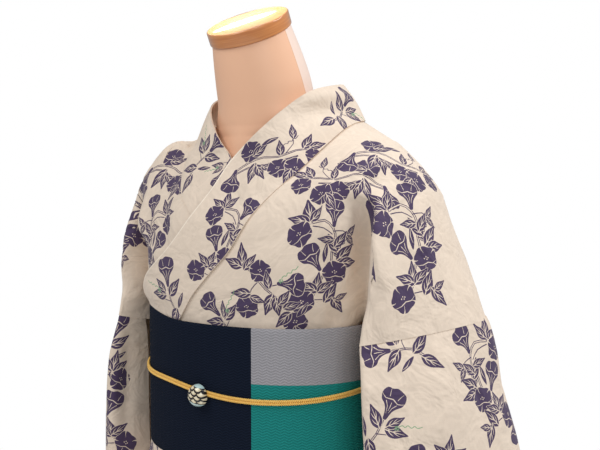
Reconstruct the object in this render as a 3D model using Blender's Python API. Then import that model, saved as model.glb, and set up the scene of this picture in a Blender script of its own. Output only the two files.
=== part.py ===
"""Cotton yukata robe with its belt, worn left over right on a limbless dress form with a stand.

Metres. +Z is up, the front faces -Y and the wearer's left is +X. The origin lies under the middle of the
base plate. Every piece of cloth is a sheet of points, worked out from the short tables below and given its
thickness inwards, so the tables hold the outer face of each piece.
"""

from math import cos, pi, radians, sin

import bmesh
import bpy
import numpy as np
from mathutils import Matrix, Vector

# Thicknesses and clearances
GAP = 0.0003  # between pieces that touch
SEAM = 0.0006  # between the edges of a sleeve and its armhole
COLLAR_SEAM = 0.0010  # between the edges of the thicker collar and its panel
COTTON = 0.0018  # one panel
BAND = 0.0024  # the collar, folded double
TUCK = 0.0034  # the fold of body cloth under the belt
BELT = 0.0045  # two turns of belt

# How far the outer face of each layer stands off the inside of the cloth
UNDER_PANEL = COTTON
UNDER_COLLAR = BAND
OVERLAP_CLEAR = 0.0022  # between the under front and the over front
OVER_PANEL = BAND + OVERLAP_CLEAR + COTTON
OVER_COLLAR = BAND + OVERLAP_CLEAR + BAND
BELT_INSIDE = OVER_COLLAR + 0.0006

# Heights above the floor
HEM = 0.070
SKIRT_TOP = 0.955
BELT_BOTTOM = 0.943
BELT_TOP = 1.100
WAIST = 1.020

# Inside of the cloth, level by level: height, half width, depth in front, depth behind, squareness
BODY = np.array(
    [
        (0.050, 0.1490, 0.1150, 0.1160, 2.2),
        (0.300, 0.1520, 0.1180, 0.1190, 2.2),
        (0.500, 0.1550, 0.1200, 0.1220, 2.2),
        (0.700, 0.1570, 0.1220, 0.1240, 2.2),
        (0.800, 0.1560, 0.1220, 0.1250, 2.2),
        (0.860, 0.1520, 0.1200, 0.1220, 2.2),
        (0.900, 0.1475, 0.1170, 0.1170, 2.2),
        (0.925, 0.1420, 0.1130, 0.1120, 2.2),
        (0.941, 0.1395, 0.1115, 0.1092, 2.2),
        (0.950, 0.1393, 0.1113, 0.1090, 2.2),
        (0.975, 0.1393, 0.1113, 0.1090, 2.2),
        (1.075, 0.1393, 0.1113, 0.1090, 2.2),
        (1.105, 0.1393, 0.1113, 0.1090, 2.2),
        (1.112, 0.1408, 0.1127, 0.1103, 2.2),
        (1.122, 0.1447, 0.1146, 0.1128, 2.3),
        (1.145, 0.1495, 0.1153, 0.1140, 2.4),
        (1.170, 0.1520, 0.1135, 0.1145, 2.4),
        (1.190, 0.1535, 0.1108, 0.1145, 2.4),
        (1.210, 0.1550, 0.1060, 0.1140, 2.4),
        (1.245, 0.1550, 0.0876, 0.1130, 2.4),
        (1.265, 0.1550, 0.0753, 0.1130, 2.4),
        (1.285, 0.1500, 0.0636, 0.1130, 2.4),
        (1.320, 0.1300, 0.0590, 0.1130, 2.4),
    ]
)

# The dress form: height, middle, half width, depth in front, depth behind, lean forward in degrees,
# squareness, and how far back its sides are swept
FORM = np.array(
    [
        (0.7900, 0.0000, 0.1200, 0.0900, 0.0940, 0.0, 2.2, 0.000),
        (0.8000, 0.0000, 0.1420, 0.1080, 0.1120, 0.0, 2.2, 0.000),
        (0.8300, 0.0000, 0.1500, 0.1170, 0.1190, 0.0, 2.2, 0.000),
        (0.8800, 0.0000, 0.1460, 0.1160, 0.1160, 0.0, 2.2, 0.000),
        (0.9200, 0.0000, 0.1405, 0.1115, 0.1105, 0.0, 2.2, 0.000),
        (0.9420, 0.0000, 0.1385, 0.1105, 0.1082, 0.0, 2.2, 0.000),
        (1.0600, 0.0000, 0.1385, 0.1105, 0.1082, 0.0, 2.2, 0.000),
        (1.0750, 0.0000, 0.1370, 0.1090, 0.1067, 0.0, 2.2, 0.000),
        (1.1150, 0.0000, 0.1375, 0.1095, 0.1075, 0.0, 2.2, 0.000),
        (1.1600, 0.0000, 0.1450, 0.1110, 0.1110, 0.0, 2.2, 0.000),
        (1.2100, 0.0000, 0.1430, 0.0980, 0.1060, 0.0, 2.1, 0.000),
        (1.2450, 0.0000, 0.1400, 0.0780, 0.0980, 0.0, 2.0, 0.010),
        (1.2750, 0.0000, 0.1360, 0.0605, 0.0900, 0.0, 1.8, 0.030),
        (1.2930, 0.0000, 0.1340, 0.0570, 0.0810, 0.0, 1.5, 0.034),
        (1.3085, 0.0000, 0.1206, 0.0560, 0.0730, 0.0, 1.4, 0.034),
        (1.3230, 0.0000, 0.0720, 0.0560, 0.0670, 2.0, 1.9, 0.006),
        (1.3480, -0.0020, 0.0590, 0.0580, 0.0590, 6.0, 2.0, 0.000),
        (1.3760, -0.0105, 0.0556, 0.0560, 0.0565, 13.0, 2.0, 0.000),
        (1.4020, -0.0210, 0.0518, 0.0522, 0.0520, 20.0, 2.0, 0.000),
    ]
)

# The wooden cap that closes the neck
CAP_TOP = Vector((0.0, -0.0391, 1.4413))
CAP_LEAN = radians(26.3)
CAP_RADIUS = 0.0492
CAP_DEPTH = 0.0130
NECK_TOP_RADIUS = 0.0472

# Stand
POLE_RADIUS = 0.016
BASE_RADIUS = 0.170
BASE_DEPTH = 0.014

# The collar from the nape to its end inside the belt: neck edge x, y, z, then seam edge x, y, z.
# It lies 5.3 cm wide at the nape and widens to about 7 cm on the chest.
OVER_COLLAR_EDGES = np.array(
    [
        (0.0005, 0.1040, 1.3690, 0.0005, 0.1155, 1.3165),
        (0.0420, 0.0900, 1.3715, 0.0550, 0.1010, 1.3235),
        (0.0640, 0.0620, 1.3715, 0.0900, 0.0720, 1.3280),
        (0.0725, 0.0200, 1.3660, 0.1010, 0.0330, 1.3235),
        (0.0680, -0.0280, 1.3530, 0.1000, 0.0000, 1.3105),
        (0.0400, -0.0620, 1.3170, 0.0880, -0.0570, 1.2705),
        (0.0080, -0.0700, 1.2850, 0.0704, -0.0804, 1.2460),
        (-0.0060, -0.0940, 1.2450, 0.0540, -0.1010, 1.2180),
        (-0.0270, -0.1120, 1.2100, 0.0377, -0.1165, 1.1830),
        (-0.0500, -0.1160, 1.1830, 0.0105, -0.1205, 1.1540),
        (-0.0730, -0.1120, 1.1640, -0.0070, -0.1220, 1.1360),
        (-0.0960, -0.0980, 1.1440, -0.0230, -0.1220, 1.1180),
        (-0.1180, -0.0780, 1.1150, -0.0430, -0.1170, 1.0960),
        (-0.1310, -0.0600, 1.0850, -0.0600, -0.1130, 1.0720),
    ]
)
UNDER_COLLAR_EDGES = np.array(
    [
        (-0.0005, 0.1040, 1.3690, -0.0005, 0.1155, 1.3165),
        (-0.0400, 0.0900, 1.3715, -0.0550, 0.1010, 1.3235),
        (-0.0610, 0.0620, 1.3705, -0.0890, 0.0720, 1.3280),
        (-0.0680, 0.0180, 1.3630, -0.0995, 0.0310, 1.3240),
        (-0.0625, -0.0300, 1.3470, -0.0990, -0.0040, 1.3110),
        (-0.0320, -0.0590, 1.3150, -0.0830, -0.0520, 1.2750),
        (-0.0010, -0.0665, 1.2830, -0.0590, -0.0760, 1.2460),
        (0.0200, -0.0760, 1.2620, -0.0320, -0.0960, 1.2220),
        (0.0450, -0.0880, 1.2330, 0.0000, -0.1100, 1.1940),
        (0.0720, -0.0930, 1.2020, 0.0300, -0.1140, 1.1640),
        (0.0950, -0.0930, 1.1720, 0.0600, -0.1100, 1.1340),
        (0.1150, -0.0860, 1.1370, 0.0860, -0.1000, 1.1030),
        (0.1280, -0.0660, 1.0980, 0.1020, -0.0850, 1.0720),
    ]
)

# Half of the bodice, for the wearer's left, from inside the belt in front over the shoulder to inside the
# belt behind. drop is the way down the cloth from the shoulder line. over and under are the places along
# each collar's table where that row starts, and middle is the height where it starts at the back seam.
# side is where the chest turns, fold the depth of the armpit fold, ridge its front or back edge, hang half
# way down the loose shoulder, and end the armhole seam.
BODICE = (
    # drop, over, under, middle, side, fold, ridge, hang, end
    (0.260, 13.0, 12.0, 0.0, (0.132, -0.058, 1.078), (0.1458, -0.008, 1.108), (0.152, -0.014, 1.107),
     (0.157, -0.022, 1.100), (0.162, -0.033, 1.078)),
    (0.230, 11.6, 10.8, 0.0, (0.137, -0.070, 1.112), (0.1515, -0.024, 1.117), (0.159, -0.030, 1.112),
     (0.164, -0.038, 1.102), (0.169, -0.046, 1.081)),
    (0.195, 10.0, 9.5, 0.0, (0.139, -0.077, 1.141), (0.1560, -0.028, 1.142), (0.171, -0.048, 1.132),
     (0.179, -0.070, 1.112), (0.181, -0.080, 1.088)),
    (0.160, 8.1, 8.35, 0.0, (0.140, -0.078, 1.178), (0.1575, -0.030, 1.176), (0.184, -0.067, 1.155),
     (0.190, -0.067, 1.122), (0.191, -0.067, 1.0895)),
    (0.125, 6.6, 6.7, 0.0, (0.140, -0.076, 1.217), (0.1590, -0.034, 1.213), (0.185, -0.060, 1.190),
     (0.201, -0.050, 1.145), (0.210, -0.044, 1.093)),
    (0.090, 5.2, 5.35, 0.0, (0.133, -0.057, 1.259), (0.1590, -0.050, 1.249), (0.186, -0.036, 1.222),
     (0.209, -0.020, 1.160), (0.228, -0.010, 1.0965)),
    (0.050, 4.3, 4.35, 0.0, (0.140, -0.014, 1.2925), (0.1700, -0.008, 1.2695), (0.196, 0.004, 1.236),
     (0.221, 0.014, 1.168), (0.244, 0.026, 1.1005)),
    (0.000, 3.0, 3.0, 0.0, (0.150, 0.033, 1.2995), (0.1800, 0.034, 1.2725), (0.203, 0.040, 1.240),
     (0.227, 0.053, 1.172), (0.252, 0.065, 1.103)),
    (-0.025, 2.0, 2.0, 0.0, (0.143, 0.072, 1.297), (0.1730, 0.074, 1.269), (0.196, 0.079, 1.236),
     (0.221, 0.086, 1.170), (0.243, 0.088, 1.103)),
    (-0.045, 0.0, 0.0, 1.3145, (0.138, 0.090, 1.280), (0.1660, 0.089, 1.256), (0.188, 0.092, 1.225),
     (0.210, 0.103, 1.163), (0.225, 0.108, 1.1025)),
    (-0.090, 0.0, 0.0, 1.268, (0.136, 0.098, 1.242), (0.1570, 0.086, 1.232), (0.180, 0.098, 1.204),
     (0.192, 0.112, 1.150), (0.195, 0.1225, 1.101)),
    (-0.130, 0.0, 0.0, 1.225, (0.138, 0.088, 1.205), (0.1545, 0.050, 1.203), (0.176, 0.090, 1.178),
     (0.179, 0.108, 1.138), (0.177, 0.1095, 1.099)),
    (-0.165, 0.0, 0.0, 1.185, (0.136, 0.083, 1.168), (0.1530, 0.044, 1.168), (0.168, 0.070, 1.150),
     (0.171, 0.082, 1.122), (0.169, 0.078, 1.096)),
    (-0.195, 0.0, 0.0, 1.150, (0.135, 0.079, 1.138), (0.1520, 0.040, 1.140), (0.161, 0.050, 1.128),
     (0.165, 0.052, 1.112), (0.166, 0.046, 1.094)),
    (-0.230, 0.0, 0.0, 1.115, (0.133, 0.072, 1.112), (0.1510, 0.034, 1.117), (0.157, 0.032, 1.112),
     (0.161, 0.024, 1.104), (0.1645, 0.014, 1.092)),
    (-0.260, 0.0, 0.0, 1.078, (0.129, 0.062, 1.078), (0.1470, 0.022, 1.107), (0.151, 0.020, 1.106),
     (0.156, 0.014, 1.101), (0.160, 0.005, 1.089)),
)
NAPE_DROP = -0.045
CHEST_PARTS = np.array([0.2, 0.4, 0.6, 0.8])  # columns added between the row's start and its side
BACK_ROUND = 0.008  # how far the upper back is rounded out between them
RIGHT_ARM_OUT = 0.008  # the right sleeve hangs this much closer in than the left

# Half of the sleeves, for the wearer's left: height, then x, y at each corner of the hanging tube
SLEEVE = (
    # height, front end, ridge, bulge, outer front, outer fold, back ridge, back, back end
    (1.040, (0.172, -0.040), (0.184, -0.080), (0.210, -0.064), (0.242, -0.018), (0.264, 0.074),
     (0.190, 0.129), (0.1705, 0.070), (0.167, 0.012)),
    (0.970, (0.174, -0.038), (0.187, -0.079), (0.224, -0.061), (0.256, -0.012), (0.281, 0.089),
     (0.192, 0.136), (0.1730, 0.070), (0.169, 0.008)),
    (0.890, (0.177, -0.032), (0.190, -0.074), (0.231, -0.057), (0.265, -0.004), (0.293, 0.100),
     (0.195, 0.138), (0.1760, 0.065), (0.172, 0.000)),
    (0.830, (0.180, -0.0154), (0.194, -0.064), (0.234, -0.050), (0.268, 0.002), (0.297, 0.100),
     (0.198, 0.132), (0.1800, 0.060), (0.180, -0.0146)),
    (0.760, (0.184, -0.0104), (0.199, -0.052), (0.236, -0.038), (0.266, 0.010), (0.293, 0.094),
     (0.202, 0.120), (0.1850, 0.055), (0.184, -0.0096)),
    (0.680, (0.189, -0.0004), (0.204, -0.034), (0.236, -0.022), (0.262, 0.018), (0.286, 0.086),
     (0.206, 0.104), (0.1910, 0.050), (0.189, 0.0004)),
)
SLEEVE_STATIONS = (1, 2, 4, 5, 7, 10, 12, 14)  # the rows of the bodice table that meet those corners
CUFF_LIFT = 0.060  # how much higher the cuff ends at the outer fold
CUFF_LIFT_FROM = 0.830

# Turns round the body, in degrees from the back seam towards the wearer's left, where the skirt's panels end
SKIRT = (
    # name, first turn, last turn, outer face at the first and the last turn
    ("skirt_back_left", 0.12, 87.0, UNDER_PANEL, UNDER_PANEL),
    ("skirt_back_right", 273.0, 359.88, UNDER_PANEL, UNDER_PANEL),
    ("skirt_front_right", 177.0, 272.75, UNDER_PANEL, UNDER_PANEL),
    ("skirt_overlap_right", 118.0, 176.75, UNDER_PANEL, UNDER_PANEL),
    ("skirt_front_left", 87.25, 184.0, UNDER_PANEL, OVER_PANEL),
    ("skirt_overlap_left", 184.25, 244.0, OVER_PANEL, OVER_PANEL),
)
SKIRT_STEP_TURN = 20.0  # the over panel climbs onto the under panel in this turn
SKIRT_LEVELS = (SKIRT_TOP, 0.942, 0.925, 0.905, 0.880, 0.850, 0.800, 0.700, 0.550, 0.400, 0.250, 0.150, HEM)

# Tuck under the belt
TUCK_TOP = BELT_BOTTOM - GAP
TUCK_BOTTOM_FRONT = 0.872
TUCK_BOTTOM_BACK = 0.884
TUCK_CLEAR = 0.0014
TUCK_SWELL = 0.0016

# Belt knot behind, cord and bead
KNOT_HALF_WIDTH = 0.078
KNOT_LOW = 0.944
KNOT_HIGH = 1.134
KNOT_DEPTH = 0.009
KNOT_BAND_HALF_WIDTH = 0.084
KNOT_BAND_LOW = 0.985
KNOT_BAND_HIGH = 1.062
KNOT_BAND_DEPTH = 0.004
CORD_WIDTH = 0.0065
CORD_DEPTH = 0.0034
CORD_HEIGHT = 1.0355
CORD_SAG = 0.0150
CORD_SAG_TURN = 156.0
CORD_SQUARENESS = 2.7  # of its way round the knot behind
BEAD_WIDTH = 0.0237
BEAD_HEIGHT = 0.0253
BEAD_DEPTH = 0.0100
BEAD_X = 0.001
BEAD_Z = 1.0220

COLOURS = {
    # slot: colour, roughness
    "cotton": ((0.78, 0.66, 0.50), 0.85),
    "belt": ((0.010, 0.017, 0.030), 0.75),
    "cord": ((0.75, 0.42, 0.06), 0.60),
    "bead": ((0.75, 0.72, 0.60), 0.25),
    "form": ((0.83, 0.52, 0.33), 0.45),
    "wood": ((0.60, 0.24, 0.06), 0.35),
    "stand": ((0.60, 0.60, 0.62), 0.35),
}


def clear_scene():
    for thing in list(bpy.data.objects):
        bpy.data.objects.remove(thing)


def material(slot):
    found = bpy.data.materials.get(slot)
    if found:
        return found
    colour, roughness = COLOURS[slot]
    made = bpy.data.materials.new(slot)
    made.use_nodes = True
    shader = made.node_tree.nodes["Principled BSDF"]
    shader.inputs["Base Color"].default_value = (*colour, 1.0)
    shader.inputs["Roughness"].default_value = roughness
    return made


def add_object(name, mesh, slot):
    mesh.materials.append(material(slot))
    made = bpy.data.objects.new(name, mesh)
    bpy.context.scene.collection.objects.link(made)
    mesh.shade_smooth()
    mesh.set_sharp_from_angle(angle=radians(40))
    return made


def curve(knots, values, places):
    """A smooth curve through values, one row for each knot, read at every place."""
    knots = np.asarray(knots, float)
    values = np.asarray(values, float)
    slopes = np.gradient(values, knots, axis=0)
    places = np.clip(np.atleast_1d(np.asarray(places, float)), knots[0], knots[-1])
    low = np.clip(np.searchsorted(knots, places, side="right") - 1, 0, len(knots) - 2)
    span = knots[low + 1] - knots[low]
    part = (places - knots[low]) / span
    shape = (-1,) + (1,) * (values.ndim - 1)
    span, part = span.reshape(shape), part.reshape(shape)
    start, end = values[low], values[low + 1]
    leave, arrive = slopes[low] * span, slopes[low + 1] * span
    return (
        (1 + 2 * part) * (1 - part) ** 2 * start
        + part * (1 - part) ** 2 * leave
        + part**2 * (3 - 2 * part) * end
        + part**2 * (part - 1) * arrive
    )


def ease(value):
    """0 below 0, 1 above 1 and smooth between."""
    value = np.clip(value, 0.0, 1.0)
    return value * value * (3 - 2 * value)


def body_at(z):
    """Half width, front depth, back depth and squareness of the cloth's inside at a height."""
    return curve(BODY[:, 0], BODY[:, 1:], z)


def round_body(turns, z, out):
    """Points round the body at turns in degrees from the back seam, each moved out level."""
    turns, z, out = np.broadcast_arrays(np.radians(turns), z, out)
    half, front, back, square = np.moveaxis(body_at(z.ravel()).reshape(*z.shape, 4), -1, 0)
    depth = np.where(np.cos(turns) > 0, back, front) + out
    x = (half + out) * np.sign(np.sin(turns)) * np.abs(np.sin(turns)) ** (2 / square)
    y = depth * np.sign(np.cos(turns)) * np.abs(np.cos(turns)) ** (2 / square)
    return np.stack([x, y, z], axis=-1)


def press_to_body(points, out, weight):
    """Moves points level, towards or from the axis, to lie this far out on the body."""
    x, y, z = np.moveaxis(points, -1, 0)
    half, front, back, square = np.moveaxis(body_at(z.ravel()).reshape(*z.shape, 4), -1, 0)
    depth = np.where(y > 0, back, front) + out
    reach = (np.abs(x / (half + out)) ** square + np.abs(y / depth) ** square) ** (1 / square)
    scale = 1 + weight * (1 / np.maximum(reach, 0.2) - 1)
    return np.stack([x * scale, y * scale, z], axis=-1)


def hug(points):
    """How closely cloth lies on the body: fully under 1.17 m, and near the front opening up to the neck."""
    x, y, z = np.moveaxis(points, -1, 0)
    low = ease((1.21 - z) / 0.04)
    opening = ease((0.095 - np.abs(x)) / 0.05) * ease((1.298 - z) / 0.012) * (y < 0)
    return np.maximum(low, opening)


def normals_of(grid, closed=False):
    """Unit normals of a grid of points, from its neighbours."""
    if closed:
        across = np.roll(grid, -1, axis=1) - np.roll(grid, 1, axis=1)
    else:
        across = np.gradient(grid, axis=1)
    down = np.gradient(grid, axis=0)
    normal = np.cross(across, down)
    return normal / np.linalg.norm(normal, axis=-1, keepdims=True)


def cloth(name, grid, thickness, slot, closed=False, flip=False):
    """A sheet through a grid of points, made a wall by adding its thickness inwards."""
    rows, columns = grid.shape[:2]
    mesh = bpy.data.meshes.new(name)
    faces = []
    for row in range(rows - 1):
        for column in range(columns if closed else columns - 1):
            after = (column + 1) % columns
            corners = [
                row * columns + column,
                row * columns + after,
                (row + 1) * columns + after,
                (row + 1) * columns + column,
            ]
            faces.append(corners[::-1] if flip else corners)
    mesh.from_pydata(grid.reshape(-1, 3).tolist(), [], faces)
    made = add_object(name, mesh, slot)
    solid = made.modifiers.new("thickness", "SOLIDIFY")
    solid.thickness = thickness
    solid.offset = -1.0
    solid.use_rim = True
    return made


def turned(name, profile, slot, steps=48):
    """A closed solid turned about Z from (radius, z) pairs that start and end on the axis."""
    shape = bmesh.new()
    corners = [shape.verts.new((radius, 0.0, z)) for radius, z in profile]
    edges = [shape.edges.new(pair) for pair in zip(corners, corners[1:])]
    bmesh.ops.spin(
        shape, geom=corners + edges, cent=(0, 0, 0), axis=(0, 0, 1), angle=2 * pi, steps=steps
    )
    bmesh.ops.remove_doubles(shape, verts=shape.verts, dist=0.00005)
    bmesh.ops.recalc_face_normals(shape, faces=shape.faces)
    mesh = bpy.data.meshes.new(name)
    shape.to_mesh(mesh)
    shape.free()
    return add_object(name, mesh, slot)


def bridge_rings(name, rings, slot):
    """A closed solid through rings of points, with a flat face at each end."""
    count = len(rings[0])
    points = np.concatenate(rings)
    faces = [list(range(count))[::-1]]
    for ring in range(len(rings) - 1):
        for place in range(count):
            after = (place + 1) % count
            low, high = ring * count, (ring + 1) * count
            faces.append([low + place, low + after, high + after, high + place])
    faces.append([(len(rings) - 1) * count + place for place in range(count)])
    mesh = bpy.data.meshes.new(name)
    mesh.from_pydata(points.tolist(), [], faces)
    return add_object(name, mesh, slot)


def make_form():
    """The torso and neck in one smooth piece, leaning forward at the neck."""
    around = np.linspace(0, 2 * pi, 40, endpoint=False)
    lean_top = CAP_LEAN
    normal = Vector((0, -sin(lean_top), cos(lean_top)))
    top = CAP_TOP - normal * (CAP_DEPTH + GAP)
    neck = (top.z, top.y, NECK_TOP_RADIUS, NECK_TOP_RADIUS, NECK_TOP_RADIUS, np.degrees(lean_top), 2.0, 0.0)
    rings = []
    for z, middle, half, front, back, lean, square, sweep in np.vstack([FORM, neck]):
        sideways = np.sign(np.cos(around)) * np.abs(np.cos(around)) ** (2 / square)
        forward = np.sign(np.sin(around)) * np.abs(np.sin(around)) ** (2 / square)
        along = np.where(forward > 0, back, front) * forward + sweep * sideways**2
        tilt = radians(lean)
        rings.append(
            np.stack([half * sideways, middle + along * cos(tilt), z + along * sin(tilt)], axis=1)
        )
    bridge_rings("form_torso", rings, "form")


def make_cap():
    """A turned wooden disc with an eased edge, lying on the neck's slanting top."""
    ease_by = 0.0018
    made = turned(
        "form_cap",
        [
            (0.0, 0.0),
            (CAP_RADIUS - ease_by, 0.0),
            (CAP_RADIUS, -ease_by),
            (CAP_RADIUS, -CAP_DEPTH + ease_by),
            (CAP_RADIUS - ease_by, -CAP_DEPTH),
            (0.0, -CAP_DEPTH),
        ],
        "wood",
    )
    made.data.transform(Matrix.Translation(CAP_TOP) @ Matrix.Rotation(CAP_LEAN, 4, "X"))


def make_stand():
    """The pole under the torso and the round plate that it stands on."""
    torso_bottom = FORM[0, 0]
    turned(
        "stand_pole",
        [
            (0.0, BASE_DEPTH + GAP),
            (POLE_RADIUS, BASE_DEPTH + GAP),
            (POLE_RADIUS, torso_bottom - GAP),
            (0.0, torso_bottom - GAP),
        ],
        "stand",
        steps=24,
    )
    edge = 0.003
    turned(
        "stand_base",
        [
            (0.0, 0.0),
            (BASE_RADIUS, 0.0),
            (BASE_RADIUS, BASE_DEPTH - edge),
            (BASE_RADIUS - edge, BASE_DEPTH),
            (0.0, BASE_DEPTH),
        ],
        "stand",
    )


def collar_edges(edges, places, out):
    """Neck edge and seam edge of a collar at places along its table, pressed onto the body in front."""
    both = curve(np.arange(len(edges)), edges, places).reshape(-1, 2, 3)
    return press_to_body(both, out, hug(both))


def make_collar(name, edges, out, flip):
    """The folded band, from neck edge to seam edge, a little rounded across."""
    places = np.linspace(0, len(edges) - 1, 2 * len(edges) - 1)
    both = curve(np.arange(len(edges)), edges, places).reshape(-1, 2, 3)
    across = np.linspace(0, 1, 5)[None, :, None]
    grid = both[:, :1] * (1 - across) + both[:, 1:] * across
    grid = press_to_body(grid, out, hug(grid))
    rounded = 0.0025 * np.sin(pi * across) * (1 - hug(grid))[..., None]
    sign = -1.0 if flip else 1.0
    grid = grid + rounded * normals_of(grid) * sign
    cloth(name, grid, BAND, "cotton", flip=flip)


def bodice_rows(steps=2):
    """The bodice table with rows added between its own, as drops, numbers and points."""
    drops = np.array([row[0] for row in BODICE])
    numbers = np.array([row[1:4] for row in BODICE])
    points = np.array([row[4:] for row in BODICE])
    index = np.linspace(0, len(BODICE) - 1, steps * (len(BODICE) - 1) + 1)
    knots = np.arange(len(BODICE))
    linear = [np.interp(index, knots, column) for column in (drops, *numbers.T)]
    return np.stack(linear, axis=1), curve(knots, points, index)


def make_bodice(name, side, edges, out_front, station):
    """One half: chest, shoulder and back in one panel, with its loose shoulder out to the armhole seam."""
    numbers, keys = bodice_rows()
    shift = 0.0 if side > 0 else RIGHT_ARM_OUT
    keys = keys.copy()
    keys[:, 2:, 0] -= shift * ease((keys[:, 2:, 0] - 0.155) / 0.02)
    keys[..., 0] *= side
    rows = []
    for (drop, over, under, middle), key in zip(numbers, keys):
        place = (over, under)[station]
        if drop >= NAPE_DROP:
            band = collar_edges(edges, place, out_front)[0]
            across = (band[1] - band[0]) / np.linalg.norm(band[1] - band[0])
            start = band[1] + across * COLLAR_SEAM
        else:
            start = round_body(0.0, middle, UNDER_PANEL)
            start[0] = side * GAP / 2
        chest = start + (key[0] - start) * CHEST_PARTS[:, None]
        if drop < NAPE_DROP:
            chest[:, 1] += BACK_ROUND * np.sin(pi * CHEST_PARTS)
        rows.append(np.vstack([start, chest, key]))
    grid = np.array(rows)
    last = grid.shape[1] - 1
    side_column = 2 * (len(CHEST_PARTS) + 1)
    grid = curve(np.arange(last + 1), np.moveaxis(grid, 1, 0), np.linspace(0, last, 2 * last + 1))
    grid = np.moveaxis(grid, 0, 1)
    # The front layer stands out over the under one, and both lie on the body behind.
    out = UNDER_PANEL + (out_front - UNDER_PANEL) * ease((0.02 - grid[..., 1]) / 0.05)
    weight = hug(grid)
    weight[:, side_column + 1 :] = 0.0
    on_body = np.arange(grid.shape[1]) < side_column + 2
    weight = np.where(on_body & (grid[..., 2] < BELT_TOP + 0.004), 1.0, weight)
    grid = press_to_body(grid, out, weight)
    cloth(name, grid, COTTON, "cotton", flip=side < 0)


def make_sleeve(name, side):
    """A tube hung from the armhole seam, open at the cuff below and along its inner edge."""
    _, keys = bodice_rows(steps=1)
    order = np.arange(len(keys))
    seam = keys[:, 4]
    stations = np.array(SLEEVE_STATIONS, float)
    places = np.linspace(stations[0], stations[-1], 27)
    top = curve(order, seam, places) - np.array([0, 0, SEAM])
    levels = [top]
    for row in SLEEVE:
        corner = np.array([(x, y, row[0]) for x, y in row[1:]])
        level = curve(stations, corner, places)
        outward = ease((level[:, 0] - 0.19) / 0.08)
        fall = ease((CUFF_LIFT_FROM - row[0]) / (CUFF_LIFT_FROM - SLEEVE[-1][0]))
        level[:, 2] += CUFF_LIFT * outward * fall
        levels.append(level)
    grid = curve(np.arange(len(levels)), np.array(levels), np.linspace(0, len(levels) - 1, 13))
    grid[..., 0] -= (0.0 if side > 0 else RIGHT_ARM_OUT) * ease((grid[..., 0] - 0.155) / 0.02)
    grid[..., 0] *= side
    cloth(name, grid, COTTON, "cotton", flip=side > 0)


def make_skirt():
    """The lower stretch of the body panels, wound left over right, open at the hem."""
    levels = np.array(SKIRT_LEVELS)[:, None]
    for name, first, last, out_first, out_last in SKIRT:
        turns = np.linspace(first, last, max(5, round((last - first) / 9)))[None, :]
        step = ease((turns - first) / SKIRT_STEP_TURN)
        out = out_first + (out_last - out_first) * step
        cloth(name, round_body(turns, levels, out), COTTON, "cotton")


def make_tuck():
    """The doubled fold of cloth that hangs below the belt, all the way round."""
    turns = np.linspace(0, 360, 48, endpoint=False)[None, :]
    part = np.linspace(0, 1, 5)[:, None]
    bottom = TUCK_BOTTOM_BACK + (TUCK_BOTTOM_FRONT - TUCK_BOTTOM_BACK) * (1 - np.cos(np.radians(turns))) / 2
    z = TUCK_TOP + (bottom - TUCK_TOP) * part
    out = OVER_PANEL + TUCK_CLEAR + TUCK + TUCK_SWELL * np.sin(pi * part * 0.8)
    cloth("tuck_fold", round_body(turns, z, out), TUCK, "cotton", closed=True)


def make_belt():
    """Two turns of belt, the flat knot behind it, and the band across the knot."""
    turns = np.linspace(0, 360, 56, endpoint=False)[None, :]
    levels = np.array([BELT_TOP, (BELT_TOP + BELT_BOTTOM) / 2, BELT_BOTTOM])[:, None]
    face = BELT_INSIDE + BELT
    belt = round_body(turns, WAIST, face) * [1, 1, 0] + levels[..., None] * [0, 0, 1]
    cloth("obi_wrap", belt, BELT, "belt", closed=True)
    knot_out = face + GAP + KNOT_DEPTH
    band_out = knot_out + GAP + KNOT_BAND_DEPTH
    for name, half_width, low, high, out, depth in (
        ("obi_back_panel", KNOT_HALF_WIDTH, KNOT_LOW, KNOT_HIGH, knot_out, KNOT_DEPTH),
        ("obi_back_band", KNOT_BAND_HALF_WIDTH, KNOT_BAND_LOW, KNOT_BAND_HIGH, band_out, KNOT_BAND_DEPTH),
    ):
        x = np.linspace(-half_width, half_width, 9)[None, :]
        z = np.linspace(high, low, 7)[:, None]
        half, _, back, square = body_at(WAIST)[0]
        y = (back + out) * (1 - np.abs(x / (half + out)) ** square) ** (1 / square)
        x, y, z = np.broadcast_arrays(x, y, z)
        cloth(name, np.stack([x, y, z], axis=-1), depth, "belt")


def make_cord():
    """The flat braided cord, sagging a little in front and passing over the knot's band."""
    turns = np.linspace(0, 360, 72, endpoint=False)
    face = BELT_INSIDE + BELT + GAP + CORD_DEPTH
    behind = KNOT_DEPTH + KNOT_BAND_DEPTH + 2 * GAP
    half, front, back, square = body_at(WAIST)[0]
    angle = np.radians(turns)
    square = np.where(np.cos(angle) > 0, CORD_SQUARENESS, square)
    depth = np.where(np.cos(angle) > 0, back + behind, front) + face
    x = (half + face) * np.sign(np.sin(angle)) * np.abs(np.sin(angle)) ** (2 / square)
    y = depth * np.sign(np.cos(angle)) * np.abs(np.cos(angle)) ** (2 / square)
    sag = CORD_SAG * np.maximum(np.cos(np.radians(turns - CORD_SAG_TURN)), 0) ** 1.5
    middle = CORD_HEIGHT - sag
    levels = np.array([0.5, -0.5])[:, None] * CORD_WIDTH + middle[None, :]
    grid = np.stack([np.broadcast_to(x, levels.shape), np.broadcast_to(y, levels.shape), levels], axis=-1)
    cloth("obi_cord", grid, CORD_DEPTH, "cord", closed=True)


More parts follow.
